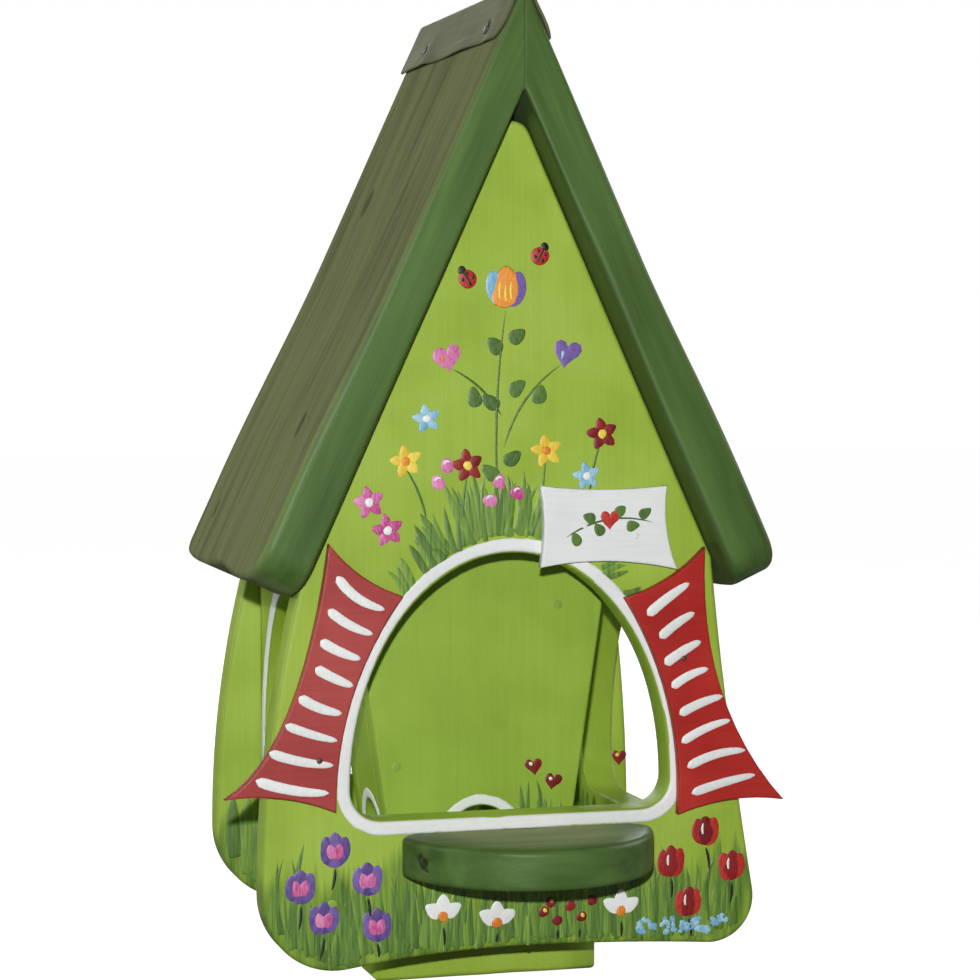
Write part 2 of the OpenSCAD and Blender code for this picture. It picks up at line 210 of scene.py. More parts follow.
def plain_board(name, node, facing, arris, paint, slot, seed, step=3.0):
    """A board between the CAD node's outermost faces towards facing and away from it, whose arris
    is sanded unevenly by a quarter, closed by one flat face on each side."""
    front = refined(face_loops(node, facing)[0], step, clear=8 * arris)
    thick = np.ptp(spots_of(node)[0] @ facing)
    back = front - thick * facing
    share = np.arange(len(front)) / len(front)
    rings, round_edge = eased_rings(front, back, facing, arris * (1 + 0.25 * wander(share, 9, seed)))
    count = len(front)
    last = (len(rings) - 1) * count
    faces = grid_faces(len(rings), count)
    faces += [list(range(count))[::-1], list(range(last, last + count))]
    edge = np.repeat(round_edge, count)
    return piece(name, rings, faces, [paint], slot, [node], edge=edge)


def linear(code):
    """An sRGB hex colour as the linear colour that a shader takes."""
    value = np.array([int(code[i : i + 2], 16) for i in (1, 3, 5)]) / 255
    value = np.where(value < 0.04045, value / 12.92, ((value + 0.055) / 1.055) ** 2.4)
    return (*value.tolist(), 1.0)


def add(tree, kind, inputs=None, stops=None, **settings):
    """Adds a shader node with its settings. An input is a colour's hex code, a number or an output
    that is linked to it. stops are a colour ramp's places and hex codes."""
    node = tree.nodes.new("ShaderNode" + kind)
    for key, value in settings.items():
        setattr(node, key, value)
    for key, value in (inputs or {}).items():
        if isinstance(value, bpy.types.NodeSocket):
            tree.links.new(value, node.inputs[key])
        else:
            node.inputs[key].default_value = linear(value) if isinstance(value, str) else value
    if stops:
        ramp = node.color_ramp.elements
        while len(ramp) < len(stops):
            ramp.new(0.5)
        for element, (place, code) in zip(ramp, stops):
            element.position = place
            element.color = linear(code)
    return node


def new_finish(name):
    """An empty material, its node tree, its shader and the place on the piece in millimetres."""
    material = bpy.data.materials.new(name)
    material.use_nodes = True
    tree = material.node_tree
    shader = tree.nodes["Principled BSDF"]
    place = add(tree, "TexCoord").outputs["Object"]
    place = add(tree, "Mapping", {"Vector": place, "Scale": (1000, 1000, 1000)}).outputs[0]
    return material, tree, shader, place


def brushed_acrylic(name, coats, worn_and_painted_light, streaks=(1.3, 1.3, 55), gloss=0.47, edge_wear_and_shade=0.4):
    """Acrylic house paint, two coats laid on with a flat brush: an even satin film that shows bands
    a few centimetres wide where it is thicker, fine streaks along the brush's way about a
    millimetre apart, and a darker colour on the rounded edges, partly for a thinner coat there and
    partly as painted shade."""
    material, tree, shader, place = new_finish(name)
    bands = add(tree, "TexNoise", {"Vector": place, "Scale": 1 / 42, "Detail": 2.5, "Roughness": 0.55})
    body = add(tree, "ValToRGB", {0: bands.outputs[0]},
               stops=[(0.32, coats[0]), (0.5, coats[1]), (0.68, coats[2])])
    brush = add(tree, "Mapping", {"Vector": place, "Scale": tuple(1 / size for size in streaks)})
    lines = add(tree, "TexNoise", {"Vector": brush.outputs[0], "Scale": 1.0, "Detail": 3.0, "Roughness": 0.6})
    shade = add(tree, "MapRange", {0: lines.outputs[0], 1: 0.25, 2: 0.75, 3: 0.965, 4: 1.03})
    body = add(tree, "VectorMath", {0: body.outputs[0], "Scale": shade.outputs[0]}, operation="SCALE")
    # The rounded edges are darkened towards the worn colour: partly a thinner coat, partly painted shade.
    edge = add(tree, "Attribute", attribute_name="edge")
    broken = add(tree, "TexNoise", {"Vector": place, "Scale": 1 / 5, "Detail": 4.0})
    thin = add(tree, "MapRange", {0: broken.outputs[0], 1: 0.3, 2: 0.7, 3: 0.35 * edge_wear_and_shade, 4: edge_wear_and_shade})
    thin = add(tree, "Math", {0: thin.outputs[0], 1: edge.outputs["Fac"]}, operation="MULTIPLY")
    colour = add(tree, "Mix", {0: thin.outputs[0], 6: body.outputs[0], 7: worn_and_painted_light}, data_type="RGBA")
    tree.links.new(colour.outputs[2], shader.inputs["Base Color"])
    rough = add(tree, "MapRange", {0: lines.outputs[0], 1: 0.3, 2: 0.7, 3: gloss - 0.06, 4: gloss + 0.1})
    tree.links.new(rough.outputs[0], shader.inputs["Roughness"])
    orange_peel = add(tree, "TexNoise", {"Vector": place, "Scale": 1 / 1.6, "Detail": 2.0})
    relief = add(tree, "Math", {0: orange_peel.outputs[0], 1: 0.35, 2: lines.outputs[0]},
                 operation="MULTIPLY_ADD")
    bump = add(tree, "Bump", {"Height": relief.outputs[0], "Strength": 0.22, "Distance": 0.0003})
    tree.links.new(bump.outputs[0], shader.inputs["Normal"])
    shader.inputs["Specular IOR Level"].default_value = 0.3
    return material


panel_lime = brushed_acrylic("lime_acrylic_brushed_on_pine", lime_coats, lime_worn_and_painted_light)
plain_board("base_block_pine", "base_block", DOWN, block_arris, panel_lime, "panel_paint", 1)

# ---- Floor board ----
# A pine board between the side walls that carries the silo and catches the seed. It is glued and
# nailed through the walls, and painted before the roof goes on.

floor_lime = brushed_acrylic("lime_acrylic_on_floor_board", ("#84A03B", "#8DA943", "#96B24C"),
                             "#6C7A3A", streaks=(55, 1.3, 1.3), gloss=0.55)
plain_board("floor_board_pine", "floor_board", UP, board_arris, floor_lime, "wall_paint", 2)

# ---- Side walls ----
# Two pine boards between the gable panels, each cut out to a wide arch that runs up to the front
# panel, with the upper edge planed to the roof's slope. Broad green blades are brushed on the
# inside near the floor, and a white line on the outside follows the arch.

wall_arris = 1.2


def sloped_board(name, node, facing, arris, paint, slot, seed):
    """A board whose upper edge is planed to the roof's slope: the back outline is the front one,
    with the points of the upper edge at the height of the CAD node's inner face."""
    front = refined(face_loops(node, facing)[0], 2.0, clear=3.2 * arris)
    thick = np.ptp(spots_of(node)[0] @ facing)
    rise = face_loops(node, -facing)[0][:, 2].max() - front[:, 2].max()
    back = front - thick * facing
    back[:, 2] += rise * (front[:, 2] > front[:, 2].max() - 0.05)
    share = np.arange(len(front)) / len(front)
    rings, round_edge = eased_rings(front, back, facing, arris * (1 + 0.25 * wander(share, 9, seed)))
    count = len(front)
    last = (len(rings) - 1) * count
    faces = grid_faces(len(rings), count)
    faces += [list(range(count))[::-1], list(range(last, last + count))]
    return piece(name, rings, faces, [paint], slot, [node], edge=np.repeat(round_edge, count)), front


wall_lime = brushed_acrylic("lime_acrylic_on_side_wall", ("#87A430", "#90AD38", "#99B541"),
                            "#6F7C30", gloss=0.5)
left_wall, left_outline = sloped_board("left_wall_pine", "left_wall", LEFT, wall_arris, wall_lime,
                                       "wall_paint", 3)
right_wall, right_outline = sloped_board("right_wall_pine", "right_wall", RIGHT, wall_arris, wall_lime,
                                         "wall_paint", 4)

# ---- Gable panels ----
# The front and back are sawn from 16 mm pine: bowed sides, rounded feet, a rounded peak and one
# large arched opening. Their arrises are sanded round by hand before the lime paint goes on.

panel_arris = 1.8
panel_centre = np.array([0, 130.0])


def ray_points(loop, centre, angle):
    """Where rays from a centre meet a closed outline that goes once round it: the ray at angle a
    meets the edge from p to q at p + s (q - p), with s the share at which it lies along the ray."""
    offset = loop - centre
    bearing = np.arctan2(offset[:, 1], offset[:, 0])
    offset, bearing = offset[np.argsort(bearing)], np.sort(bearing)
    after = np.searchsorted(bearing, angle) % len(bearing)
    near, beyond = offset[after - 1], offset[after]
    ray = np.stack([np.cos(angle), np.sin(angle)], axis=1)
    off_near = near[:, 0] * ray[:, 1] - near[:, 1] * ray[:, 0]
    off_beyond = beyond[:, 0] * ray[:, 1] - beyond[:, 1] * ray[:, 0]
    share = off_near / (off_near - off_beyond)
    return centre + near + share[:, None] * (beyond - near)


def kept_apart(groups, gap):
    """Angles from several groups in turn, each left out where it lies within gap of one before."""
    kept = np.sort(groups[0])
    for group in groups[1:]:
        after = np.searchsorted(kept, group) % len(kept)
        clear = np.minimum(np.abs(group - kept[after - 1]), np.abs(group - kept[after])) > gap
        kept = np.sort(np.concatenate([kept, group[clear]]))
    return kept


def gable_board(name, node, facing, seed):
    """A board with one opening, as one closed grid: rings round the outer edge from the front face
    to the back face, then rings round the opening's edge from the back face to the front one. Both
    outlines are cut by the same rays from one centre, so that their points face each other. Gives
    the opening's outline on the face."""
    outer, opening = (loop[:, [0, 2]] for loop in face_loops(node, facing)[:2])
    bearings = [np.arctan2(*(loop - panel_centre).T[::-1]) for loop in (outer, opening)]
    angle = kept_apart([*bearings, np.linspace(-np.pi, np.pi, 721)[1:]], 0.006)
    face_y = corners(node)[0 if facing[1] < 0 else 1][1]
    thick = np.ptp(spots_of(node)[0][:, 1])
    turn = int(-facing[1])
    share = np.arange(len(angle)) / len(angle)
    fronts, grids, edges = [], [], []
    for place, (loop, way) in enumerate(((outer, turn), (opening, -turn))):
        flat = ray_points(loop, panel_centre, angle)[::way]
        front = np.insert(flat, 1, face_y, axis=1)
        ease = panel_arris * (1 + 0.3 * wander(share, 11, seed + place))
        rings, round_edge = eased_rings(front, front - thick * facing, facing, ease)
        fronts.append(front)
        grids.append(rings[:, :: way * turn])
        edges.append(round_edge)
    grid = np.concatenate([grids[0], grids[1][::-1]])
    edge = np.concatenate([edges[0], edges[1][::-1]])
    faces = grid_faces(len(grid), len(angle), closed_rows=True)
    piece(name, grid, faces, [panel_washed], "panel_paint", [node], edge=np.repeat(edge, len(angle)))
    return fronts[1]


def grass_wash(name, coats, worn_and_painted_light, tall, ragged_by):
    """House paint with a thin green wash along the foot: broad strokes that rise from the foot to
    uneven heights, each soft at its tip, streaked along its way and partly see-through."""
    material = brushed_acrylic(name, coats, worn_and_painted_light)
    tree = material.node_tree
    base = tree.nodes["Principled BSDF"].inputs["Base Color"]
    lime = base.links[0].from_socket
    place = add(tree, "TexCoord").outputs["Object"]
    height = add(tree, "SeparateXYZ", {0: place}).outputs[2]
    column = add(tree, "Mapping", {"Vector": place, "Scale": (1000 / 5.5, 1000 / 60, 1000 / 160)})
    column = add(tree, "TexNoise", {"Vector": column.outputs[0], "Scale": 1.0, "Detail": 2.0, "Roughness": 0.7})
    top = add(tree, "MapRange", {0: column.outputs[0], 1: 0.3, 2: 0.7, 3: (tall - ragged_by) / 1000,
                                 4: (tall + ragged_by) / 1000})
    inside = add(tree, "Math", {0: top.outputs[0], 1: height}, operation="SUBTRACT")
    inside = add(tree, "MapRange", {0: inside.outputs[0], 1: 0.0, 2: 0.009})
    hairs = add(tree, "Mapping", {"Vector": place, "Scale": (1000 / 1.5, 1000 / 60, 1000 / 38)})
    hairs = add(tree, "TexNoise", {"Vector": hairs.outputs[0], "Scale": 1.0, "Detail": 3.0, "Roughness": 0.6})
    green = add(tree, "ValToRGB", {0: hairs.outputs[0]}, stops=[(0.3, "#426322"), (0.5, "#5F822D"), (0.7, "#85A53D")])
    strokes_wide = add(tree, "Mapping", {"Vector": place, "Scale": (1000 / 8, 1000 / 60, 1000 / 70)})
    strokes_wide = add(tree, "TexNoise", {"Vector": strokes_wide.outputs[0], "Scale": 1.0, "Detail": 1.0})
    cover = add(tree, "MapRange", {0: strokes_wide.outputs[0], 1: 0.38, 2: 0.58, 3: 0.45, 4: 0.95})
    cover = add(tree, "Math", {0: cover.outputs[0], 1: inside.outputs[0]}, operation="MULTIPLY")
    washed = add(tree, "Mix", {0: cover.outputs[0], 6: lime, 7: green.outputs[0]}, data_type="RGBA")
    tree.links.new(washed.outputs[2], base)
    return material


panel_washed = grass_wash("lime_acrylic_with_green_wash_on_pine", lime_coats, lime_worn_and_painted_light, 60, 13)
front_opening = gable_board("front_panel_pine", "front_panel", FRONT, 5)
back_opening = gable_board("back_panel_pine", "back_panel", BACK, 7)

# ---- White bands round the openings ----
# Thick white acrylic drawn along each opening with a round brush, 6 mm wide on the panels and
# narrower on the side walls. Its outer edge wanders, and it runs a little way over the arris.

band_width = 6.2
side_band_width = 7.5
band_film = 0.22
band_sunk = 0.15


def paint_band(path, onto, facing, arris, width, closed=True):
    """A band of thick paint along an edge. Across it the share s runs from the rounded arris r to
    the width w: at the inset i the wood lies r - sqrt(r^2 - (r - i)^2) below the face, and the film
    stands film (1 - (2 s - 1)^6) over it. Its back, sunk in the wood, closes it."""
    share = np.linspace(0, 1, 8)[:, None]
    start = 0.35 * arris
    inset = start + share * (width - start)
    drop = arris - np.sqrt(arris**2 - (arris - inset).clip(0) ** 2)
    rise = band_film * (1 - (2 * share - 1) ** 6) - drop
    top = path + inset[..., None] * onto + rise[..., None] * facing
    buried = path + inset[..., None] * onto - (drop + band_sunk)[..., None] * facing
    rings = np.concatenate([top, buried[::-1]])
    faces = grid_faces(len(rings), len(path), closed_rows=True, closed_columns=closed)
    if not closed:
        ends = np.arange(len(rings)) * len(path)
        faces += [ends.tolist(), (ends + len(path) - 1)[::-1].tolist()]
    return rings.reshape(-1, 3), faces


def ragged(width, path, seed):
    """The band's width along a path: slow swells of a tenth and brush jitter every few millimetres."""
    step = np.linalg.norm(np.diff(path, axis=0, prepend=path[:1]), axis=1)
    share = np.cumsum(step) / step.sum()
    return width * (1 + 0.05 * wander(share, 7, seed) + 0.035 * wander(share * 14, 12, seed + 1))


def joined(parts):
    """Several closed shapes as one list of points and one list of faces."""
    points, faces, first = [], [], 0
    for spots, sides in parts:
        points.append(spots)
        faces += [[corner + first for corner in side] for side in sides]
        first += len(spots)
    return np.concatenate(points), faces


def arch_of(outline, across):
    """The stretch of a side wall's outline that is its opening, as an open path: the points off the
    wall's straight outer edges, in the outline's own order, from one end to the other."""
    low, high = outline.min(axis=0) + 0.05, outline.max(axis=0) - 0.05
    inside = (outline[:, 1:] > low[1:]).all(axis=1) & (outline[:, 1:] < high[1:]).all(axis=1)
    first = np.flatnonzero(inside & ~np.roll(inside, 1))
    runs = [np.roll(inside, -start).argmin() for start in first]
    start, count = first[np.argmax(runs)], max(runs)
    keep = (start + np.arange(count)) % len(outline)
    return outline[keep], across[keep]


white_acrylic = brushed_acrylic("white_acrylic_brushed", ("#E2E5E3", "#E6E9E7", "#EAECEA"), "#C4CBC2",
                                streaks=(3.0, 3.0, 3.0), gloss=0.4, edge_wear_and_shade=0.15)


def opening_band(path, facing, seed):
    """The closed band round a gable panel's opening."""
    return paint_band(path, onto_face(path, facing), facing, panel_arris, ragged(band_width, path, seed))


points, faces = joined([opening_band(front_opening, FRONT, 21), opening_band(back_opening, BACK, 23)])
piece("panel_opening_bands", points, faces, [white_acrylic], "white_paint", edge=np.zeros(len(points)))

bands = []
for outline, facing, seed in ((left_outline, LEFT, 25), (right_outline, RIGHT, 27)):
    path, onto = (line[4:-4] for line in arch_of(outline, onto_face(outline, facing)))
    width = ragged(side_band_width, path, seed)
    bands.append(paint_band(path, onto, facing, wall_arris, width, closed=False))
points, faces = joined(bands)
piece("side_opening_bands", points, faces, [white_acrylic], "white_paint", edge=np.zeros(len(points)))

# ---- Seed silo ----
# Four tapered boards nailed into a funnel that stands on the floor board: the front and back lap
# over the leaning sides, and each has a half-round outlet at its foot, edged in white.

silo_arris = 1.0
outlet_band_width = 5.0
silo_lime = brushed_acrylic("lime_acrylic_on_silo", ("#88A735", "#90AF3B", "#97B542"), "#6B7A32",
                            gloss=0.5)


def silo_board(name, node, side, seed):
    """A silo board between its CAD node's outer face and that face moved level through the board.
    Gives its outline and the way its outer face looks."""
    spots, triangles = spots_of(node)
    edge_a, edge_b = (spots[triangles[:, k]] - spots[triangles[:, 0]] for k in (1, 2))
    normal = np.cross(edge_a, edge_b)
    outward = normal[np.argmax(normal @ side)]
    outward /= np.linalg.norm(outward)
    front = refined(face_loops(node, outward)[0], 3.0, clear=3.2 * silo_arris)
    level = np.ptp(spots[np.abs(spots[:, 2] - spots[:, 2].max()) < 0.05] @ side)
    share = np.arange(len(front)) / len(front)
    ease = silo_arris * (1 + 0.25 * wander(share, 9, seed))
    rings, round_edge = eased_rings(front, front - level * side, outward, ease)
    count = len(front)
    last = (len(rings) - 1) * count
    faces = grid_faces(len(rings), count)
    faces += [list(range(count))[::-1], list(range(last, last + count))]
    piece(name, rings, faces, [silo_lime], "silo_paint", [node], edge=np.repeat(round_edge, count))
    return front, outward


bands = []
for node, side, seed in (("silo_front", FRONT, 31), ("silo_back", BACK, 32),
                         ("silo_left", LEFT, 33), ("silo_right", RIGHT, 34)):
    outline, outward = silo_board(node + "_pine", node, side, seed)
    onto = onto_face(outline, outward)
    foot = outline[:, 2].min()
    level_way = np.cross(outward, UP)
    middle = outline @ level_way
    middle = (middle.max() + middle.min()) / 2
    reach = np.hypot(outline @ level_way - middle, outline[:, 2] - foot)
    outlet = (reach < 16) & (outline[:, 2] > foot + 0.3)
    start = np.flatnonzero(outlet & ~np.roll(outlet, 1))[0]
    keep = (start + np.arange(outlet.sum())) % len(outline)
    path = outline[keep]
    width = ragged(outlet_band_width, path, seed + 5)
    bands.append(paint_band(path, onto[keep], outward, silo_arris, width, closed=False))
points, faces = joined(bands)
piece("outlet_bands", points, faces, [white_acrylic], "white_paint", edge=np.zeros(len(points)))

# ---- Roof boards ----
# Two flat-sawn pine boards, mitred along the ridge and soaked in thin green stain. The outer faces
# have weathered to olive grey: the soft early wood has sunk between the hard rings, and the sun
# has opened a few checks along the grain. That grey is coloured a little lighter as painted sheen.
# The edges keep the green, and the under faces are darkened as painted shade.

roof_arris = 2.8
mitre_arris = 0.3
roof_columns = 190
roof_rows = 150
grain_height = 0.06
check_depth = 0.9
swell_start, swell_end = 0.45, 0.85


def along(path, count):
    """Points evenly spaced along an open path, without its last point."""
    length = np.concatenate([[0], np.cumsum(np.linalg.norm(np.diff(path, axis=0), axis=1))])
    at = np.linspace(0, length[-1], count + 1)[:-1]
    return np.stack([np.interp(at, length, path[:, k]) for k in range(3)], axis=1)


def patch(ring, rows, columns):
    """A grid that fills a closed ring of 2 (rows + columns) points: the sum of the two blends
    between facing sides, less the blend of the four corners."""
    a, b, c, d = 0, columns, columns + rows, 2 * columns + rows
    near = ring[a : b + 1]
    right = ring[b : c + 1]
    distant = ring[c : d + 1][::-1]
    left = np.concatenate([ring[d:], ring[:1]])[::-1]
    s = np.linspace(0, 1, columns + 1)[None, :, None]
    t = np.linspace(0, 1, rows + 1)[:, None, None]
    blend = (1 - t) * near + t * distant + (1 - s) * left[:, None] + s * right[:, None]
    ends = (1 - t) * ((1 - s) * ring[a] + s * ring[b]) + t * ((1 - s) * ring[d] + s * ring[c])
    return blend - ends


def knot_field(down, across, knots):
    """How far each spot lies from the nearest knot, in knot radii, with knots drawn out downhill."""
    reach = [np.hypot((down - place[0]) / 1.5, across - place[1]) / place[2] for place in knots]
    return np.min(reach, axis=0)


def growth_rings(down, across, deep, pith, knots):
    """Late wood of a flat-sawn board, from 0 to 1. The distance from a pith line that wanders
    beneath the board, bulged round the knots, over the ring spacing gives each ring's phase; the
    phase rises slowly to the dark late wood and drops at once. Knots have rings of their own."""
    side, below, spacing, tilt = pith
    side = across - side - 5 * np.sin(down / 88 + side) - 1.6 * np.sin(down / 27 + 2 * side)
    radius = np.hypot(side, deep + below + tilt * down)
    reach = knot_field(down, across, knots)
    radius = radius + 7 * np.exp(-((reach / 1.9) ** 2))
    phase = (radius / spacing + 0.15 * np.sin(down / 12 + side / 9)) % 1
    late = phase**2.5 * np.clip((1 - phase) / 0.12, 0, 1)
    in_knot = np.clip((1.05 - reach) / 0.15, 0, 1)
    return late * (1 - in_knot) + in_knot * (0.55 + 0.45 * np.sin(reach * 14)), in_knot


def checks(down, across, places):
    """Drying checks along the grain, from 0 to 1: each is a bell curve across a line that strays
    from the grain by a millimetre, and closes as a half sine at its two ends."""
    depth = np.zeros_like(down)
    for top, side, length, wide in places:
        run = (down - top) / length
        line = side + 0.9 * np.sin(down / 13 + side) + 0.4 * np.sin(down / 4.1)
        taper = np.sin(np.pi * run.clip(0, 1))
        depth = np.maximum(depth, taper * np.exp(-(((across - line) / wide) ** 2)))
    return depth


def stained_pine(name, lean, weathered_and_sheen_greys=("#64684C", "#737856", "#7E8360", "#767E52")):
    """Pine in thin green stain. Where it has weathered it is olive grey, drier and rougher, and the grey
    is coloured lighter as painted sheen; the hard late wood shows as lighter, yellower lines, and the
    checks and knots are dark. The same dark mark lays painted shade on the roof's under faces."""
    material, tree, shader, place = new_finish(name)
    flat = add(tree, "Mapping", {"Vector": place, "Rotation": (0, lean, 0)})
    fibre = add(tree, "Mapping", {"Vector": flat.outputs[0], "Scale": (1 / 1.3, 1 / 1.3, 1 / 45)})
    fibre = add(tree, "TexNoise", {"Vector": fibre.outputs[0], "Scale": 1.0, "Detail": 4.0, "Roughness": 0.6})
    bands = add(tree, "Mapping", {"Vector": flat.outputs[0], "Scale": (1 / 11, 1 / 11, 1 / 110)})
    bands = add(tree, "TexNoise", {"Vector": bands.outputs[0], "Scale": 1.0, "Detail": 3.0})
    green = add(tree, "ValToRGB", {0: bands.outputs[0]},
                stops=[(0.3, "#3C5624"), (0.5, "#4C6833"), (0.72, "#58773C")])
    grey = add(tree, "ValToRGB", {0: bands.outputs[0]},
               stops=list(zip((0.3, 0.45, 0.6, 0.75), weathered_and_sheen_greys)))
    weather = add(tree, "Attribute", attribute_name="weather").outputs["Fac"]
    grain = add(tree, "Attribute", attribute_name="grain").outputs["Fac"]
    dark = add(tree, "Attribute", attribute_name="dark").outputs["Fac"]
    patchy = add(tree, "MapRange", {0: bands.outputs[0], 1: 0.3, 2: 0.7, 3: 1.1, 4: 0.85})
    patchy = add(tree, "Math", {0: patchy.outputs[0], 1: weather}, operation="MULTIPLY", use_clamp=True)
    colour = add(tree, "Mix", {0: patchy.outputs[0], 6: green.outputs[0], 7: grey.outputs[0]},
                 data_type="RGBA")
    line = add(tree, "MapRange", {0: grain, 3: 0.0, 4: 0.22})
    colour = add(tree, "Mix", {0: line.outputs[0], 6: colour.outputs[2], 7: "#6C7540"}, data_type="RGBA")
    seam = add(tree, "Attribute", attribute_name="seam").outputs["Fac"]
    colour = add(tree, "Mix", {0: seam, 6: colour.outputs[2], 7: "#616F30"}, data_type="RGBA")
    shade = add(tree, "MapRange", {0: fibre.outputs[0], 1: 0.25, 2: 0.75, 3: 0.93, 4: 1.07})
    colour = add(tree, "VectorMath", {0: colour.outputs[2], "Scale": shade.outputs[0]}, operation="SCALE")
    # Dark: the checks and knots, and painted shade on the roof boards' under faces.
    colour = add(tree, "Mix", {0: dark, 6: colour.outputs[0], 7: "#262F18"}, data_type="RGBA")
    tree.links.new(colour.outputs[2], shader.inputs["Base Color"])
    rough = add(tree, "MapRange", {0: weather, 3: 0.42, 4: 0.75})
    tree.links.new(rough.outputs[0], shader.inputs["Roughness"])
    sheen = add(tree, "MapRange", {0: weather, 3: 0.2, 4: 0.0})
    tree.links.new(sheen.outputs[0], shader.inputs["Specular IOR Level"])
    bump = add(tree, "Bump", {"Height": fibre.outputs[0], "Strength": 0.2, "Distance": 0.0004})
    tree.links.new(bump.outputs[0], shader.inputs["Normal"])
    return material


def roof_board(name, node, side, seed, pith, knots, splits):
    """One roof board, worked out flat from the outline of the CAD node's under face. The outer
    outline is that one moved through the board, with its upper end at the ridge. It is cut at four
    places into sides with even points; rings go round its edges to the under face, and a fine grid
    fills the outer face. The foot has worn into two lobes, the absolute value of a sine. Rings of
    growth, checks and a crease above the lobes' cusp shape that grid. Then the outer face is lifted by its swell, half a cosine wave, and the ridge is planed level."""
    spots, triangles = spots_of(node)
    edge_a, edge_b = (spots[triangles[:, k]] - spots[triangles[:, 0]] for k in (1, 2))
    normal = np.cross(edge_a, edge_b)
    outward = -normal[np.argmin(normal @ (side + 0.5 * UP))]
    outward /= np.linalg.norm(outward)
    downhill = np.array([side[0] * outward[2], 0, -abs(outward[0])])
    height = spots @ outward
    level = height.min()
    thick = height[np.abs(spots[:, 0]) < 5].max() - level
    swell = height.max() - level - thick
    mitre = thick * abs(outward[0]) / outward[2]
    loop = face_loops(node, -outward)[0][::-1] + thick * outward
    loop[loop @ downhill < (loop @ downhill).min() + 0.05] -= mitre * downhill
    down, depth = loop @ downhill, loop[:, 1]
    top, foot, near, rear = down.min(), down.max(), depth.min(), depth.max()
    targets = ((top, near), (top, rear), (foot, rear), (foot, near))
    if side[0] > 0:
        targets = ((top, rear), (top, near), (foot, near), (foot, rear))
    cut = [np.argmin(np.hypot(down - u, depth - v)) for u, v in targets]
    loop = np.roll(loop, -cut[0], axis=0)
    cut = [(k - cut[0]) % len(loop) for k in cut] + [len(loop)]
    closed = np.concatenate([loop, loop[:1]])
    counts = (roof_columns, roof_rows, roof_columns, roof_rows)
    sides = [along(closed[cut[k] : cut[k + 1] + 1], counts[k]) for k in range(4)]
    front = np.concatenate(sides)
    down = front @ downhill
    low_end = ((down - top) / (foot - top)).clip(0, 1)
    share = np.arange(len(front)) / len(front)
    lobes = 2.0 * np.abs(np.sin(2 * np.pi * (front[:, 1] - near) / (rear - near))) - 1.5
    lobes += 0.4 * wander(front[:, 1] / 164, 4, seed)
    front = front + (lobes * low_end**30)[:, None] * downhill
    upper = (1 - 2 * (down - top) / (foot - top)).clip(0)
    back = front - thick * outward + (mitre * upper)[:, None] * downhill
    ease = np.where(down < top + 0.5, mitre_arris, roof_arris * (1 + 0.3 * wander(share, 13, seed)))
    rings = eased_rings(front, back, outward, ease, side_rows=14)[0]
    face = patch(rings[0], roof_rows, roof_columns)
    count = len(front)
    points = np.concatenate([face.reshape(-1, 3), rings.reshape(-1, 3)])
    first = face.shape[0] * face.shape[1]
    faces = grid_faces(roof_rows + 1, roof_columns + 1, closed_columns=False)
    faces += grid_faces(len(rings), count, first=first)
    faces.append(list(range(len(points) - count, len(points))))
    down, across = points @ downhill - top, points[:, 1] - near
    deep = (rings[0, 0] @ outward) - points @ outward
    grain, in_knot = growth_rings(down, across, deep, pith, knots)
    split = checks(down, across, splits) * (deep < 2)
    seam = checks(down, across, [(-60, at, 400, 1.5) for at in (5.5, 33, 64, 101, 139, 160)]) * (deep < 4)
    turned = (np.arange(len(rings)) - 1).clip(0, arris_steps - 1) / (arris_steps - 1)
    turned = np.concatenate([np.zeros(first), np.repeat(np.minimum(turned, turned[::-1]), count)])
    outside = np.concatenate([np.ones(first), np.repeat(np.arange(len(rings)) < arris_steps + 1, count)])
    weather = outside * (1 - turned) ** 1.5
    end = ((down - (foot - top) + 5) / 4).clip(0, 1)
    weather = np.maximum(weather, 0.75 * end)
    raised = grain_height * (grain - 0.4) - check_depth * split - 0.25 * in_knot
    crease = across - (rear - near) / 2 - 1.5 * np.sin(down / 19)
    raised = raised - 0.8 * np.exp(-((crease / 3.5) ** 2)) * ((down / (foot - top) - 0.78) / 0.22).clip(0, 1) ** 2
    run = ((down / (foot - top) - swell_start) / (swell_end - swell_start)).clip(0, 1)
    raised = raised * outside * (1 - turned) + swell * (1 - np.cos(np.pi * run)) / 2 * (1 - deep / thick)
    points = points + raised[:, None] * outward
    points[:, 2] = points[:, 2].clip(max=spots[:, 2].max())
    # Painted shade: the under face and the arris next to it are darkened through the dark mark.
    under = np.concatenate([np.zeros(first), np.repeat(np.arange(len(rings)) > len(rings) - arris_steps, count)])
    dark = np.clip(0.85 * split + 0.45 * in_knot + 0.4 * under, 0, 1)
    piece(name, points, faces, [stained_pine(name + "_stain", side[0] * math.asin(outward[2]))],
          "roof_stain", [node], weather=weather, grain=grain * (1 - 0.5 * turned), dark=dark, seam=0.6 * seam)
    return outward, downhill


left_knots = ((96, 118, 5.0), (205, 40, 4.0), (250, 136, 3.0))
left_checks = ((70, 52, 34, 1.0), (100, 70, 40, 0.9), (150, 60, 46, 1.1), (196, 92, 52, 1.2),
               (120, 128, 40, 1.0), (214, 28, 44, 1.0), (40, 96, 26, 0.8))
right_knots = ((60, 60, 4.0), (170, 112, 5.5), (236, 30, 3.4))
right_checks = ((30, 40, 40, 1.0), (110, 88, 44, 1.0), (190, 52, 56, 1.2), (84, 138, 38, 0.9))
left_slope = roof_board("left_roof_pine", "left_roof", LEFT, 41, (70, 18, 5.2, 0.05), left_knots,
                        left_checks)
right_slope = roof_board("right_roof_pine", "right_roof", RIGHT, 43, (95, 22, 4.8, 0.04), right_knots,
                         right_checks)

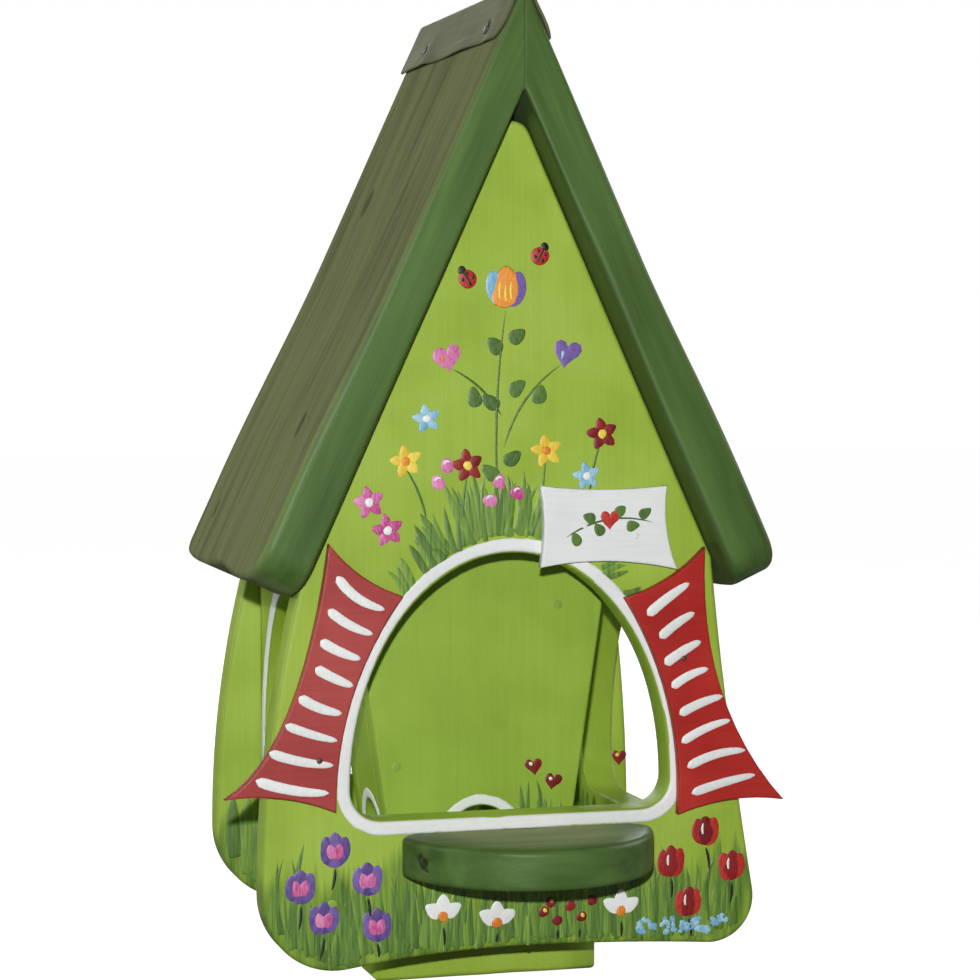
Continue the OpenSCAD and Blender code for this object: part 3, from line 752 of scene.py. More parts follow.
# ---- Ridge cap ----
# A strip of 1.2 mm sheet folded over the ridge and painted olive grey with the roof. Two galvanised
# nails through each leg have pulled it into small dents; it stands off the wood between them, with
# a soft crease that runs uphill beside each nail.

sheet_t = 1.2
sheet_bend = 2.5
sheet_front_corner, sheet_rear_corner = 10.5, 2.5
nail_r = 2.3


def head_places(node):
    """The middle of each of a CAD node's nail heads, which lie well apart."""
    spots, places = spots_of(node)[0], []
    while len(spots):
        near = np.linalg.norm(spots - spots[0], axis=1) < 8
        places.append((spots[near].min(axis=0) + spots[near].max(axis=0)) / 2)
        spots = spots[~near]
    return np.array(places)


def cap_sheet(name, node, slope, nails, paint):
    """A folded sheet, as an outer and an inner grid that meet at its edges. Across it u runs along the
    sheet's middle from the ridge: round the bend by the angle u / r, then straight down the leg. The
    half thickness grows as a quarter circle from every edge. The leg lifts off by a wave that grows
    with the square of u, a bell-shaped crease beside each nail, less a bell-shaped dent at it."""
    low, high = corners(node)
    lean = math.asin(slope[2])
    half_bend = math.pi / 2 - lean
    bend_z = high[2] - sheet_t / 2 - sheet_bend
    arc = sheet_bend * half_bend
    leg = (bend_z + sheet_bend * math.cos(half_bend) - sheet_t / 2 * math.sin(lean) - low[2]) / math.cos(lean)
    down = arc + leg * (1 - (1 - np.linspace(0, 1, 24)) ** 1.6)
    down = np.concatenate([np.linspace(0, arc, 7)[:-1], down])
    u = np.concatenate([-down[:0:-1], down])[:, None]
    reach = arc + leg - np.abs(u)
    near = low[1] + sheet_front_corner - np.sqrt(sheet_front_corner**2 - (sheet_front_corner - reach).clip(0) ** 2)
    far = high[1] - sheet_rear_corner + np.sqrt(sheet_rear_corner**2 - (sheet_rear_corner - reach).clip(0) ** 2)
    rim = np.array([0, 0.12, 0.35, 0.7, 1.3]) / (high[1] - low[1])
    share = np.concatenate([rim, np.linspace(0.02, 0.98, 90), 1 - rim[::-1]])
    v = near + (far - near) * share
    edge = np.minimum(np.minimum(v - near, far - v), reach)
    half = sheet_t / 2 * np.sqrt(1 - (1 - (edge / (sheet_t / 2)).clip(0, 1)) ** 2)
    w = ((np.abs(u) - arc) / leg).clip(0)
    lift = 0.6 * w**2 * (1 + np.sin(v / 13 + 2 * np.sign(u)))
    for x, y, z in nails:
        side = np.sign(u) == np.sign(x)
        nail_u = arc + (bend_z + sheet_bend * math.cos(half_bend) - z) / math.cos(lean)
        crease = v - (y - 9 + 0.15 * (nail_u - np.abs(u)))
        lift += side * (0.35 * w**0.7 + 0.5 * w**3) * np.exp(-((crease / 7.5) ** 2))
        lift -= side * 0.5 * np.exp(-((v - y) ** 2 + (0.7 * (np.abs(u) - nail_u)) ** 2) / 3.4**2)
    lift = lift.clip(-0.15)
    turn = (u / sheet_bend).clip(-half_bend, half_bend)
    beyond = u - turn * sheet_bend
    middle_x = sheet_bend * np.sin(turn) + beyond * np.cos(turn)
    middle_z = bend_z + sheet_bend * np.cos(turn) - beyond * np.sin(turn)
    grids = []
    for way in (1, -1):
        out = lift + way * half
        grids.append(np.stack([middle_x + out * np.sin(turn), v, middle_z + out * np.cos(turn)], axis=-1))
    rows, columns = v.shape
    faces = grid_faces(rows, columns, closed_columns=False)
    faces += grid_faces(rows, columns, closed_columns=False, first=rows * columns)
    edge = np.tile(np.exp(-edge / 0.8).ravel(), 2)
    piece(name, np.stack(grids), faces, [paint], "cap_sheet", [node], edge=edge)


cap_paint = brushed_acrylic("olive_grey_paint_on_folded_sheet", ("#62664A", "#6D7153", "#767A5B"), "#474E2E",
                            streaks=(1.6, 30, 1.6), gloss=0.66)
cap_paint.node_tree.nodes["Principled BSDF"].inputs["Specular IOR Level"].default_value = 0.05
cap_heads = head_places("cap_nails")
cap_sheet("ridge_cap_sheet", "ridge_cap", right_slope[0], cap_heads, cap_paint)

# ---- Landing board ----
# A half-round pine board glued and screwed to the front under the opening. Its edge is rounded and
# stained dark green; the top has worn to grey green, coloured a little lighter as painted sheen, and
# a knot has opened on the left of the edge.

landing_arris = 2.4
knot_way = math.radians(-64)
knot_r = 3.4


def landing_board(name, node, paint):
    """A thick board with a fine side grid. The knot is a ring of cracks: it is dark and sinks by a bell
    curve about the knot's radius, broken along the ring by two sines."""
    front = refined(face_loops(node, UP)[0], 0.8, clear=3.2 * landing_arris)
    low, high = corners(node)
    share = np.arange(len(front)) / len(front)
    ease = landing_arris * (1 + 0.2 * wander(share, 9, 51))
    ease = np.where(front[:, 1] > high[1] - 0.3, 0.4, ease)
    rings, round_edge = eased_rings(front, front - (high[2] - low[2]) * UP, UP, ease, side_rows=20)
    count = len(front)
    inner = np.array([0.15, 0.4, 0.65, 0.85])
    crown = rings[0].mean(axis=0) * (1, 0, 1) + (0, high[1], 0)
    rings = np.concatenate([crown + inner[:, None, None] * (rings[0] - crown), rings])
    worn_and_painted_light = np.concatenate([[1, 1, 0.9, 0.5], 0.0 * (1 - round_edge[: arris_steps + 1])])
    faces = grid_faces(len(rings), count)
    last = (len(rings) - 1) * count
    faces += [list(range(count))[::-1], list(range(last, last + count))]
    points = rings.reshape(-1, 3)
    hub = np.array([(low[0] + high[0]) / 2, high[1], (low[2] + high[2]) / 2])
    out = (high[0] - low[0]) / 2 * np.array([math.sin(knot_way), -math.cos(knot_way), 0])
    offset = points - (hub + out + (0, 0, 0.5))
    round_knot = np.arctan2(offset[:, 2], offset[:, 1])
    away = np.linalg.norm(offset, axis=1)
    ring = knot_r * (1 + 0.16 * np.sin(2 * round_knot + 0.6) + 0.1 * np.sin(5 * round_knot))
    broken = (0.55 + 0.6 * np.sin(round_knot + 2) + 0.35 * np.sin(3 * round_knot)).clip(0, 1)
    crack = broken * np.exp(-(((away - ring) / 0.8) ** 2)) + 0.9 * np.exp(-(((away - 0.35 * ring) / 0.8) ** 2))
    level = (hub - points) * (1, 1, 0)
    level /= np.linalg.norm(level, axis=1, keepdims=True).clip(1)
    points = points + 1.1 * crack[:, None] * level
    weather = np.zeros(len(rings))
    weather[: len(worn_and_painted_light)] = worn_and_painted_light
    piece(name, points, faces, [paint], "landing_stain", [node], weather=np.repeat(weather, count),
          grain=np.zeros(len(points)), dark=(crack * 1.5).clip(0, 1), seam=np.zeros(len(points)))


# The landing board's greys are light: its weathered top is coloured lighter as painted sheen.
landing_stain = stained_pine("dark_green_stain_on_landing_board", math.pi / 2,
                             ("#8A956C", "#9FAB80", "#AEB991", "#95A36C"))
landing_board("landing_board_pine", "landing_board", landing_stain)

# ---- Shutters ----
# Two splayed panels sawn from thin plywood and glued and pinned over the panel's edges, painted
# brick red. The left one is coloured a lighter, pinker red as painted sheen.

# Painted sheen: the left shutter's red is lighter and pinker than the right one's.
left_red = brushed_acrylic("brick_red_acrylic_with_painted_sheen_on_plywood", ("#9E3A38", "#A8423F", "#B04A46"), "#7E2A26",
                           streaks=(40, 1.5, 1.5), gloss=0.42, edge_wear_and_shade=0.5)
right_red = brushed_acrylic("brick_red_acrylic_on_plywood", ("#A3211C", "#AF2922", "#B83129"), "#761813",
                            streaks=(40, 1.5, 1.5), gloss=0.42, edge_wear_and_shade=0.5)
plain_board("left_shutter_plywood", "left_shutter", FRONT, 0.7, left_red, "shutter_paint", 61, step=2.0)
plain_board("right_shutter_plywood", "right_shutter", FRONT, 0.7, right_red, "shutter_paint", 62, step=2.0)

# ---- Name board ----
# A small bowed plywood board, pinned above the opening and left without a name: two coats of white
# and a little sprig.

sign_white = brushed_acrylic("white_acrylic_on_plywood", ("#DFE2E0", "#E5E8E6", "#EAECEA"), "#C9CFC6",
                             streaks=(18, 1.2, 1.2), gloss=0.4, edge_wear_and_shade=0.3)
plain_board("name_board_plywood", "name_board", FRONT, 0.7, sign_white, "white_paint", 63, step=2.0)

# ---- Nail heads ----
# Flat-headed galvanised nails driven through the cap, and small pins in the trim. The cap's heads
# were brushed over with the roof's colour. The heads are coloured dark as painted shade in their
# dents, and a dark mark in each dent is partly missing paint and partly painted shade.


def drops(outline, centre, size, turn=0.0, film=0.25, over=0.0, wobble=0.05):
    """Closed domes of one outline, one for each centre, laid on a face: across, up and out. A ring at
    the share s of the outline stands about film (1 - s^3) over the layer beneath, the rim is sunk in
    it, and the last ring, under the wood, closes the dome. The outline of each wobbles by two sines of its own."""
    centre = np.asarray(centre, float).reshape(-1, 2)
    size, turn = (np.broadcast_to(v, len(centre))[:, None] for v in (size, turn))
    share = np.array([0, 0.5, 0.8, 0.95, 1, 0])
    height = np.append(film * (1 - share[:5] ** 3) + over, -0.3)
    height[4] -= 0.12
    lag = rng.uniform(0, 2 * np.pi, (2, len(centre), 1))
    bearing = np.arctan2(outline[:, 1], outline[:, 0])
    swell = 1 + wobble * (np.sin(2 * bearing + lag[0]) + 0.6 * np.sin(3 * bearing + lag[1]))
    across = size * swell * (outline[:, 0] * np.cos(turn) - outline[:, 1] * np.sin(turn))
    up = size * swell * (outline[:, 0] * np.sin(turn) + outline[:, 1] * np.cos(turn))
    ring = np.stack([across, up], axis=-1)[:, None] * share[:, None, None] + centre[:, None, None]
    out = np.broadcast_to(height[:, None], ring.shape[:3])
    return np.concatenate([ring, out[..., None]], axis=-1)


def strokes(start, end, width, bow=0.0, profile=((0, 0.04, 0.1, 0.6, 0.9, 0.97, 1), (0, 0.75, 1, 0.9, 0.65, 0.4, 0)),
            film=0.16, over=0.0):
    """Closed brush strokes laid on a face, one from each start to its end: across, up and out. The
    middle line bows aside by 4 b t (1 - t) of its length, the width follows the profile, and the film
    is a low dome across the stroke over a keel sunk in the wood."""
    start, end = (np.asarray(v, float).reshape(-1, 1, 2) for v in (start, end))
    width, bow = (np.broadcast_to(v, len(start))[:, None, None] for v in (width, bow))
    t = (1 - np.cos(np.pi * np.linspace(0, 1, 13)))[:, None] / 2
    way = end - start
    aside = way[..., ::-1] * (-1, 1)
    middle = start + t * way + 4 * bow * t * (1 - t) * aside
    tangent = way + 4 * bow * (1 - 2 * t) * aside
    square = tangent[..., ::-1] * (-1, 1) / np.linalg.norm(tangent, axis=-1, keepdims=True)
    wide = np.interp(t, *profile) * width / 2
    section = np.array([-1, -0.8, 0, 0.8, 1, 0])[:, None]
    flat = middle[:, :, None] + (wide * square)[:, :, None] * section
    height = np.array([over - 0.12, 0.6 * film + over, film + over, 0.6 * film + over, over - 0.12, -0.3])
    out = np.broadcast_to(np.where(height > 0, np.interp(t, *profile) ** 0.5, 1) * height, flat.shape[:3])
    return np.concatenate([flat, out[..., None]], axis=-1)


def painted(name, groups, paint, slot, hides=()):
    """One piece from groups of closed grids. Each group lies on a face given by a spot on it and the
    ways across, up and out; every grid has a tone of its own."""
    points, faces, tones, first = [], [], [], 0
    for grids, spot, *ways in groups:
        count, rows, columns = grids.shape[:3]
        cells = rows * columns
        points.append((spot + grids @ np.array(ways, float)).reshape(-1, 3))
        corner = np.array(grid_faces(rows, columns)) + first
        faces += (corner + cells * np.arange(count)[:, None, None]).reshape(-1, 4).tolist()
        tones.append(np.repeat(rng.random(count), cells))
        first += count * cells
    points = np.concatenate(points)
    return piece(name, points, faces, [paint], slot, hides, tone=np.concatenate(tones), edge=np.zeros(len(points)))


def craft_acrylic(name, stops, streaks=(0.8, 0.8, 3.0), gloss=0.42):
    """Thick craft acrylic from a small brush: each dab has a tone of its own, with fine streaks of
    badly mixed paint along the brush's way, ridges left by the hairs and a soft sheen."""
    material, tree, shader, place = new_finish(name)
    brush = add(tree, "Mapping", {"Vector": place, "Scale": tuple(1 / size for size in streaks)})
    hairs = add(tree, "TexNoise", {"Vector": brush.outputs[0], "Scale": 1.0, "Detail": 3.0, "Roughness": 0.65})
    tone = add(tree, "Attribute", attribute_name="tone")
    mixed = add(tree, "MapRange", {0: tone.outputs["Fac"], 3: -0.18, 4: 0.18})
    mixed = add(tree, "Math", {0: mixed.outputs[0], 1: hairs.outputs[0]}, operation="ADD")
    colour = add(tree, "ValToRGB", {0: mixed.outputs[0]}, stops=stops)
    tree.links.new(colour.outputs[0], shader.inputs["Base Color"])
    rough = add(tree, "MapRange", {0: hairs.outputs[0], 1: 0.3, 2: 0.7, 3: gloss - 0.08, 4: gloss + 0.1})
    tree.links.new(rough.outputs[0], shader.inputs["Roughness"])
    bump = add(tree, "Bump", {"Height": hairs.outputs[0], "Strength": 0.3, "Distance": 0.0002})
    tree.links.new(bump.outputs[0], shader.inputs["Normal"])
    return material


rng = np.random.default_rng(12)
turns = np.linspace(0, 2 * np.pi, 21)[:-1]
round_shape = np.stack([np.cos(turns), np.sin(turns)], axis=1)
dark_pin = craft_acrylic("tarnished_steel_pin_heads", [(0.35, "#3A2421"), (0.65, "#5A3A34")], gloss=0.45)
painted_zinc = craft_acrylic("olive_paint_and_painted_shade_on_nail_heads", [(0.35, "#2E3422"), (0.65, "#474D36")], gloss=0.5)
pit_paint = craft_acrylic("dark_paint_and_painted_shade_in_nail_dents", [(0.35, "#2B301F"), (0.65, "#3A402A")], gloss=0.55)

groups, pit_marks = [], []
for place in cap_heads:
    outward, downhill = left_slope if place[0] < 0 else right_slope
    ways = np.cross(-downhill, outward), -downhill, outward
    # Painted shade: each head is coloured dark for the shaded dent it sits in.
    groups.append((drops(round_shape, (0, 0), nail_r, film=0.55, over=0.15), place - 0.25 * outward, *ways))
    # A dark mark in the dent: partly missing paint, partly painted shade.
    pit_mark = strokes((0.8, -2.6), (-0.8, 4.2), 8.0, film=0.3, profile=((0, 0.3, 1), (0, 1, 0)))
    pit_marks.append((pit_mark, place - 0.12 * outward, *ways))
painted("cap_nail_heads", groups, painted_zinc, "nail_metal", ["cap_nails"])
painted("cap_nail_pit_marks", pit_marks, pit_paint, "cap_sheet")
for node, paint in (("shutter_nails", dark_pin), ("name_board_nails", sign_white)):
    groups = [(drops(round_shape, (0, 0), 1.3, film=0.35, over=0.05, wobble=0), place, RIGHT, UP, FRONT)
              for place in head_places(node)]
    painted(node + "_heads", groups, paint, "nail_metal", [node])

# ---- Painted flowers, grass and strokes ----
# Craft acrylic put on freehand after the boards were joined: flat-brush grass with ragged tips along
# every foot and over the arch, dabs of flowers, hearts and beetles, and white strokes on the
# shutters. The thickest dabs stand a quarter of a millimetre proud.

blade = (0, 0.015, 0.2, 0.6, 0.85, 1), (0, 0.85, 1, 0.85, 0.5, 0)
tick = (0, 0.1, 0.5, 0.9, 1), (0, 0.8, 1, 0.6, 0)
petal = np.stack([0.36 * np.sin(turns) * (1 - 0.35 * np.cos(turns)), 0.5 * np.cos(turns)], axis=1)
heart = np.stack([np.sin(turns) ** 3, (13 * np.cos(turns) - 5 * np.cos(2 * turns) - 2 * np.cos(3 * turns)
                                       - np.cos(4 * turns)) / 15], axis=1)
front_face = np.array([0, corners("front_panel")[0][1], 0]), RIGHT, UP, FRONT
back_face = np.array([0, corners("back_panel")[1][1], 0]), LEFT, UP, BACK
inside_face = np.array([0, corners("back_panel")[0][1], 0]), RIGHT, UP, FRONT
silo_face = np.array([0, corners("silo_front")[0][1], 0]), RIGHT, UP, FRONT
wall_face = np.array([corners("right_wall")[0][0], 0, 0]), FRONT, UP, LEFT
sign_low, sign_high = corners("name_board")
sign_face = np.array([(sign_low[0] + sign_high[0]) / 2, sign_low[1], (sign_low[2] + sign_high[2]) / 2]), RIGHT, UP, FRONT


def petals(centres, angles, reach):
    """Where petals sit round each centre, and their turns: at an angle from upright, reach away."""
    way = np.stack([-np.sin(angles), np.cos(angles)], axis=1)
    return (np.asarray(centres, float)[:, None] + reach * way).reshape(-1, 2), np.tile(angles, len(centres))


def tufts(root, height, lean, spread=1.7, width=3.2, hairs=4):
    """Flat-brush grass: each tuft is a row of hair marks side by side that end at uneven heights."""
    root, lean, height = np.asarray(root, float), np.asarray(lean, float), np.asarray(height, float)
    offset = (np.arange(hairs) - (hairs - 1) / 2) * spread
    tall = height[:, None] * rng.uniform(0.72, 1.0, (len(root), hairs))
    lean = lean[:, None] + offset * 0.035 + rng.normal(0, 0.05, (len(root), hairs))
    across = np.stack([np.cos(lean), -np.sin(lean)], axis=-1)
    start = root[:, None] + offset[:, None] * across + rng.uniform(-1, 1, (len(root), hairs, 1)) * (0, 1)
    end = start + tall[..., None] * np.stack([np.sin(lean), np.cos(lean)], axis=-1)
    bow = rng.normal(0, 0.05, start.shape[0] * hairs)
    return strokes(start, end, width * rng.uniform(0.7, 1.2, len(bow)), bow, blade, film=0.08)


def foot_of(node, facing, across, half=4.5):
    """How high the rounded foot of a panel starts under a stroke of some half width, at each place."""
    outline = face_loops(node, facing)[0]
    outline = outline[outline[:, 2] < 45] * (-facing[1], 1, 1)
    outline = outline[np.argsort(outline[:, 0])]
    return np.max([np.interp(across + way, outline[:, 0], outline[:, 2]) for way in (-half, 0, half)], axis=0)


def foot_grass(node, facing, low, high, tall):
    """Grass along a panel's foot: a row of ragged tufts over the green wash."""
    x = np.arange(low, high, 5.5)
    x = x + rng.uniform(-1.5, 1.5, len(x))
    foot = foot_of(node, facing, x) + 0.9
    root = np.stack([x, foot + rng.uniform(0, 3, len(x))], axis=1)
    return tufts(root, tall(x) * rng.uniform(0.6, 1.05, len(x)), rng.normal(0, 0.09, len(x)))


def stems(node, facing, face, tops, width=1.4):
    """Short dark stems under flowers along a panel's foot. None runs out over the foot's edge."""
    tops = np.asarray(tops, float)
    low = foot_of(node, facing, tops[:, 0], 1.5) + 2.5
    end = tops + np.stack([rng.uniform(-2, 2, len(tops)), -rng.uniform(8, 12, len(tops))], axis=1)
    end[:, 1] = np.maximum(end[:, 1], low)
    ticks.append((strokes(tops, end, width, 0.05, tick, over=0.08), *face))


grass, leaves, ticks = [], [], []
paints = {colour: [] for colour in ("purple", "pink", "red", "dark_red", "orange", "yellow", "white", "blue")}

# the front's foot
grass.append((foot_grass("front_panel", FRONT, -99, 101, lambda x: 43 - 12 * np.exp(-(((x - 5) / 48) ** 2))), *front_face))
crocus = [(-93, 47), (-78, 62), (-64, 49), (-83, 33), (-60, 29)]
for angle, size, colour in ((0.42, 13, "purple"), (-0.42, 13, "purple"), (0.0, 15, "purple")):
    spot, turn = petals(crocus, np.array([angle]), 5.5)
    paints[colour].append((drops(petal, spot, size, turn, film=0.3), *front_face))
spot, turn = petals(crocus, np.array([0.3, -0.3]), 5)
paints["pink"].append((drops(petal, spot, 7, turn, film=0.25, over=0.22), *front_face))
tulips = [(72, 50), (88, 63), (100, 47), (80, 32)]
for angle, size in ((0.4, 13), (-0.4, 13)):
    spot, turn = petals(tulips, np.array([angle]), 5)
    paints["red"].append((drops(petal, spot, size, turn, film=0.3), *front_face))
spot, turn = petals(tulips, np.array([0.0]), 5)
paints["dark_red"].append((drops(petal, spot, 14, turn, film=0.38), *front_face))
paints["white"].append((strokes(spot + (-1.2, -2), spot + (-1.0, 3.5), 1.3, 0.1, tick, film=0.2, over=0.3), *front_face))
stems("front_panel", FRONT, front_face, np.array(crocus + tulips) - (0, 2.5))
trefoil = [(-31, 37), (-7, 33), (49, 35)]
spot, turn = petals(trefoil, np.array([-1.05, 0, 1.05]), 4.6)
paints["white"].append((drops(petal, spot, 9.5, turn, film=0.3), *front_face))
paints["orange"].append((drops(round_shape, np.array(trefoil) + (0, -0.5), 2.3, film=0.3, over=0.25), *front_face))
berries = [(14, 36), (20, 32), (17, 40), (26, 38), (31, 33), (36, 40)]
paints["dark_red"].append((drops(round_shape, berries, 2.5, film=0.3), *front_face))
paints["yellow"].append((drops(round_shape, np.array(berries)[::2] + (0.5, 0.7), 1.0, film=0.25, over=0.25), *front_face))
stems("front_panel", FRONT, front_face, [(-31, 32), (-7, 28), (49, 30), (20, 28), (30, 28)])
dots = np.stack([rng.uniform(56, 98, 60), rng.uniform(0, 1, 60)], axis=1)
dots[:, 1] = foot_of("front_panel", FRONT, dots[:, 0]) + 4.5 + 6 * dots[:, 1]
paints["blue"].append((drops(round_shape, dots, rng.uniform(0.8, 1.7, 60), film=0.25, wobble=0.15), *front_face))

# the gable
arch = front_opening[front_opening[:, 2] > 130]
arch = arch[np.argsort(arch[:, 0])]
x = np.concatenate([np.linspace(-55, 60, 13), np.linspace(-34, 12, 8)])
x = x + rng.uniform(-1.5, 1.5, len(x))
root = np.stack([x, np.interp(x, arch[:, 0], arch[:, 2]) + band_width + 1.5], axis=1)
tall = 12 + 25 * np.exp(-(((x + 10) / 26) ** 2)) * rng.uniform(0.6, 1.0, len(x))
grass.append((tufts(root, tall, (x + 8) / 46 + rng.normal(0, 0.12, len(x)), spread=2.0, width=4.2, hairs=3), *front_face))
stem = np.array([(-6, 206), (-5, 250), (-4, 236), (34, 208), (-38, 206), (-22, 206), (14, 207)], float)
tip = np.array([(-3, 296), (-27, 270), (22, 272), (40, 240), (-47, 228), (-20, 226), (15, 232)], float)
leaves.append((strokes(stem, tip, 1.3, (0.03, -0.08, 0.1, 0.05, -0.05, 0.03, 0.04), tick, film=0.14), *front_face))
spot = np.array([(-10, 226), (0, 232), (-10, 256), (2, 262), (-8, 280), (2, 284), (-17, 258), (12, 259)], float)
turn = np.array([0.9, -0.9, 0.95, -0.9, 0.8, -0.85, 0.2, -0.2])
leaves.append((drops(petal, spot, 9, turn, film=0.22), *front_face))
bloom = np.array([(-3, 298)])
for angle, size, colour, over in ((0.45, 17, "blue", 0), (-0.45, 17, "purple", 0), (0, 18, "orange", 0.12)):
    spot, turn = petals(bloom, np.array([angle]), 7)
    paints[colour].append((drops(petal, spot, size, turn, film=0.3, over=over), *front_face))
start = bloom + [(-2.6, 1), (0, 0), (2.4, 1)]
paints["yellow"].append((strokes(start, start + (0, 9), 1.2, 0.05, tick, film=0.15, over=0.38), *front_face))
paints["pink"].append((drops(heart, (-29, 275), 6.5, 0.2, film=0.3), *front_face))
paints["purple"].append((drops(heart, (24, 277), 6.5, -0.2, film=0.3), *front_face))
paints["orange"].append((strokes((-31, 276), (-31.5, 272.5), 1.6, 0.1, tick, over=0.25), *front_face))
paints["blue"].append((strokes((22, 278), (21.5, 274), 1.6, 0.1, tick, over=0.25), *front_face))
for centres, colour, size, middle_colour in (
        ([(40, 242), (-20, 229)], "dark_red", 6.6, "yellow"),
        ([(15, 235), (-47, 231)], "yellow", 6.4, "orange"),
        ([(-38, 249), (33, 224)], "blue", 5.6, "white"),
        ([(-63, 214), (-55, 202)], "pink", 6.4, "white")):
    spot, turn = petals(centres, 2 * np.pi * np.arange(5) / 5 + 0.2, 0.62 * size)
    paints[colour].append((drops(petal, spot, size, turn, film=0.28), *front_face))
    paints[middle_colour].append((drops(round_shape, centres, 0.3 * size, film=0.3, over=0.2), *front_face))
buds = [(-33, 222), (-29, 229), (-10, 214), (2, 217), (-6, 222)]
paints["pink"].append((drops(round_shape, buds, 3.2, film=0.3, wobble=0.1), *front_face))
paints["white"].append((strokes(np.array(buds) + (-1.6, 0.4), np.array(buds) + (1.4, 1.6), 1.3, 0.3, tick, over=0.28), *front_face))
beetles = np.array([(12, 318), (-20, 308)], float)
facing_up = np.array([-0.5, 0.6])
head = beetles + 4.3 * np.stack([-np.sin(facing_up), np.cos(facing_up)], axis=1)
tail = beetles - 3.9 * np.stack([-np.sin(facing_up), np.cos(facing_up)], axis=1)
paints["red"].append((drops(round_shape, beetles, 4.2, film=0.4, wobble=0.03), *front_face))
ticks.append((drops(round_shape, head, 2.0, film=0.3), *front_face))
ticks.append((strokes(head, tail, 0.9, 0, tick, film=0.12, over=0.4), *front_face))
spot, turn = petals(beetles, facing_up[0] + np.array([0.8, -0.8, 2.2, -2.2]), 2.2)
ticks.append((drops(round_shape, spot, 0.8, film=0.2, over=0.3), *front_face))

# inside: the silo, the back panel behind it and the right wall
silo_low, silo_high = corners("silo_front")
x = np.array([20.0, 25, 31])
root = np.stack([x, np.full(3, silo_low[2] + 2)], axis=1)
grass.append((tufts(root, [24, 16, 20], [-0.05, 0.1, 0.02], hairs=3), *silo_face))
paints["dark_red"].append((drops(heart, [(22, silo_low[2] + 32), (31, silo_low[2] + 25)], 4.2, (0.15, -0.2)), *silo_face))
paints["white"].append((drops(round_shape, [(20.6, silo_low[2] + 33), (29.8, silo_low[2] + 26)], 0.9, over=0.2), *silo_face))
paints["dark_red"].append((drops(heart, [(91, 82)], 4.0), *inside_face))
paints["yellow"].append((drops(round_shape, [(90, 83)], 1.0, over=0.2), *inside_face))
x = np.array([-96.5, -90.5, -86])
root = np.stack([x, foot_of("back_panel", FRONT, x) + 2], axis=1)
grass.append((strokes(root, root + [(-1, 30), (0, 40), (1, 35)], 8.0, 0.02, blade, film=0.12), *inside_face))
x = np.array([-53.4, -50.9, -46, -38, -29])
root = np.stack([x, np.full(len(x), corners("floor_board")[1][2] + 0.5)], axis=1)
grass.append((strokes(root, root + [(0, 36), (0, 28), (1, 8), (-1, 7.5), (1, 7)], (5, 4.6, 6, 7, 7), 0.01, blade,
                      film=0.12), *wall_face))

# the back's foot and gable
grass.append((foot_grass("back_panel", BACK, -90, 99, lambda x: 32 + 8 * np.sin(x / 23)), *back_face))
tulips = [(-76, 54), (-58, 44), (-30, 46), (40, 50), (62, 44), (84, 56)]
for angle, size in ((0.4, 13), (-0.4, 13), (0, 14)):
    spot, turn = petals(tulips[::2], np.array([angle]), 5)
    paints["red"].append((drops(petal, spot, size, turn, film=0.3 + 0.08 * (angle == 0)), *back_face))
    spot, turn = petals(tulips[1::2], np.array([angle]), 5)
    paints["purple"].append((drops(petal, spot, size, turn, film=0.3 + 0.08 * (angle == 0)), *back_face))
stems("back_panel", BACK, back_face, np.array(tulips) - (0, 2.5))
arch = back_opening[back_opening[:, 2] > 130]
arch = arch[np.argsort(-arch[:, 0])]
x = np.linspace(-44, 44, 24) + rng.uniform(-1.5, 1.5, 24)
root = np.stack([x, np.interp(x, -arch[:, 0], arch[:, 2]) + band_width + 1.5], axis=1)
tall = (12 + 20 * np.exp(-((x / 24) ** 2))) * rng.uniform(0.7, 1.0, 24)
grass.append((tufts(root, tall, x / 50, spread=1.4, width=2.9, hairs=4), *back_face))
centres = [(-28, 226), (-8, 240), (14, 236), (32, 222)]
spot, turn = petals(centres, 2 * np.pi * np.arange(5) / 5, 4.0)
paints["yellow"].append((drops(petal, spot, 6.4, turn, film=0.28), *back_face))
paints["orange"].append((drops(round_shape, centres, 2.0, film=0.3, over=0.2), *back_face))
paints["pink"].append((drops(heart, [(0, 268), (-14, 256), (15, 258)], (6.5, 4.5, 4.5)), *back_face))

# the shutters and the name board
order = np.arange(8)
for side, place, lean, short, tilt in ((-1, (-83.6, 136.6), 20.6, 2.8, 13 - 2.9 * order),
                                       (1, (83.0, 130.2), 16.6, 2.2, 19 - 2.8 * order)):
    angle = math.radians(lean)
    spot = np.array([place[0], corners("left_shutter")[0][1], place[1]])
    across = np.array([side * math.cos(angle), 0, math.sin(angle)])
    up = np.array([-side * math.sin(angle), 0, math.cos(angle)])
    tilt = np.radians(tilt + rng.normal(0, 2, 8))
    length = 18 + (1.8 if side < 0 else 1.3) * np.abs(order - short) ** 1.45 + rng.normal(0, 0.7, 8)
    middle = np.stack([rng.normal(-1.5, 0.6, 8), 43 - 12.4 * order + rng.normal(0, 0.6, 8)], axis=1)
    half = length[:, None] / 2 * np.stack([np.cos(tilt), np.sin(tilt)], axis=1)
    marks = strokes(middle - side * half, middle + side * half, rng.uniform(4.2, 5.2, 8),
                    rng.normal(0.05, 0.02, 8), film=0.3)
    paints["white"].append((marks, spot, across, up, FRONT))
leaves.append((strokes((-20, -4), (20, 2), 1.1, 0.12, tick, film=0.15), *sign_face))
share = np.array([0.12, 0.27, 0.38, 0.62, 0.76, 0.9])
way = np.where(np.arange(6) % 2, 1.0, -1.0)
spot = np.stack([-20 + 40 * share, -4 + 6 * share + 19 * share * (1 - share) + 3.2 * way], axis=1)
leaves.append((drops(petal, spot, 6.5, 0.9 - 2.1 * (share > 0.5) + 0.3 * way, film=0.2), *sign_face))
paints["red"].append((drops(heart, (0, 4), 4.6, 0.0, film=0.28), *sign_face))

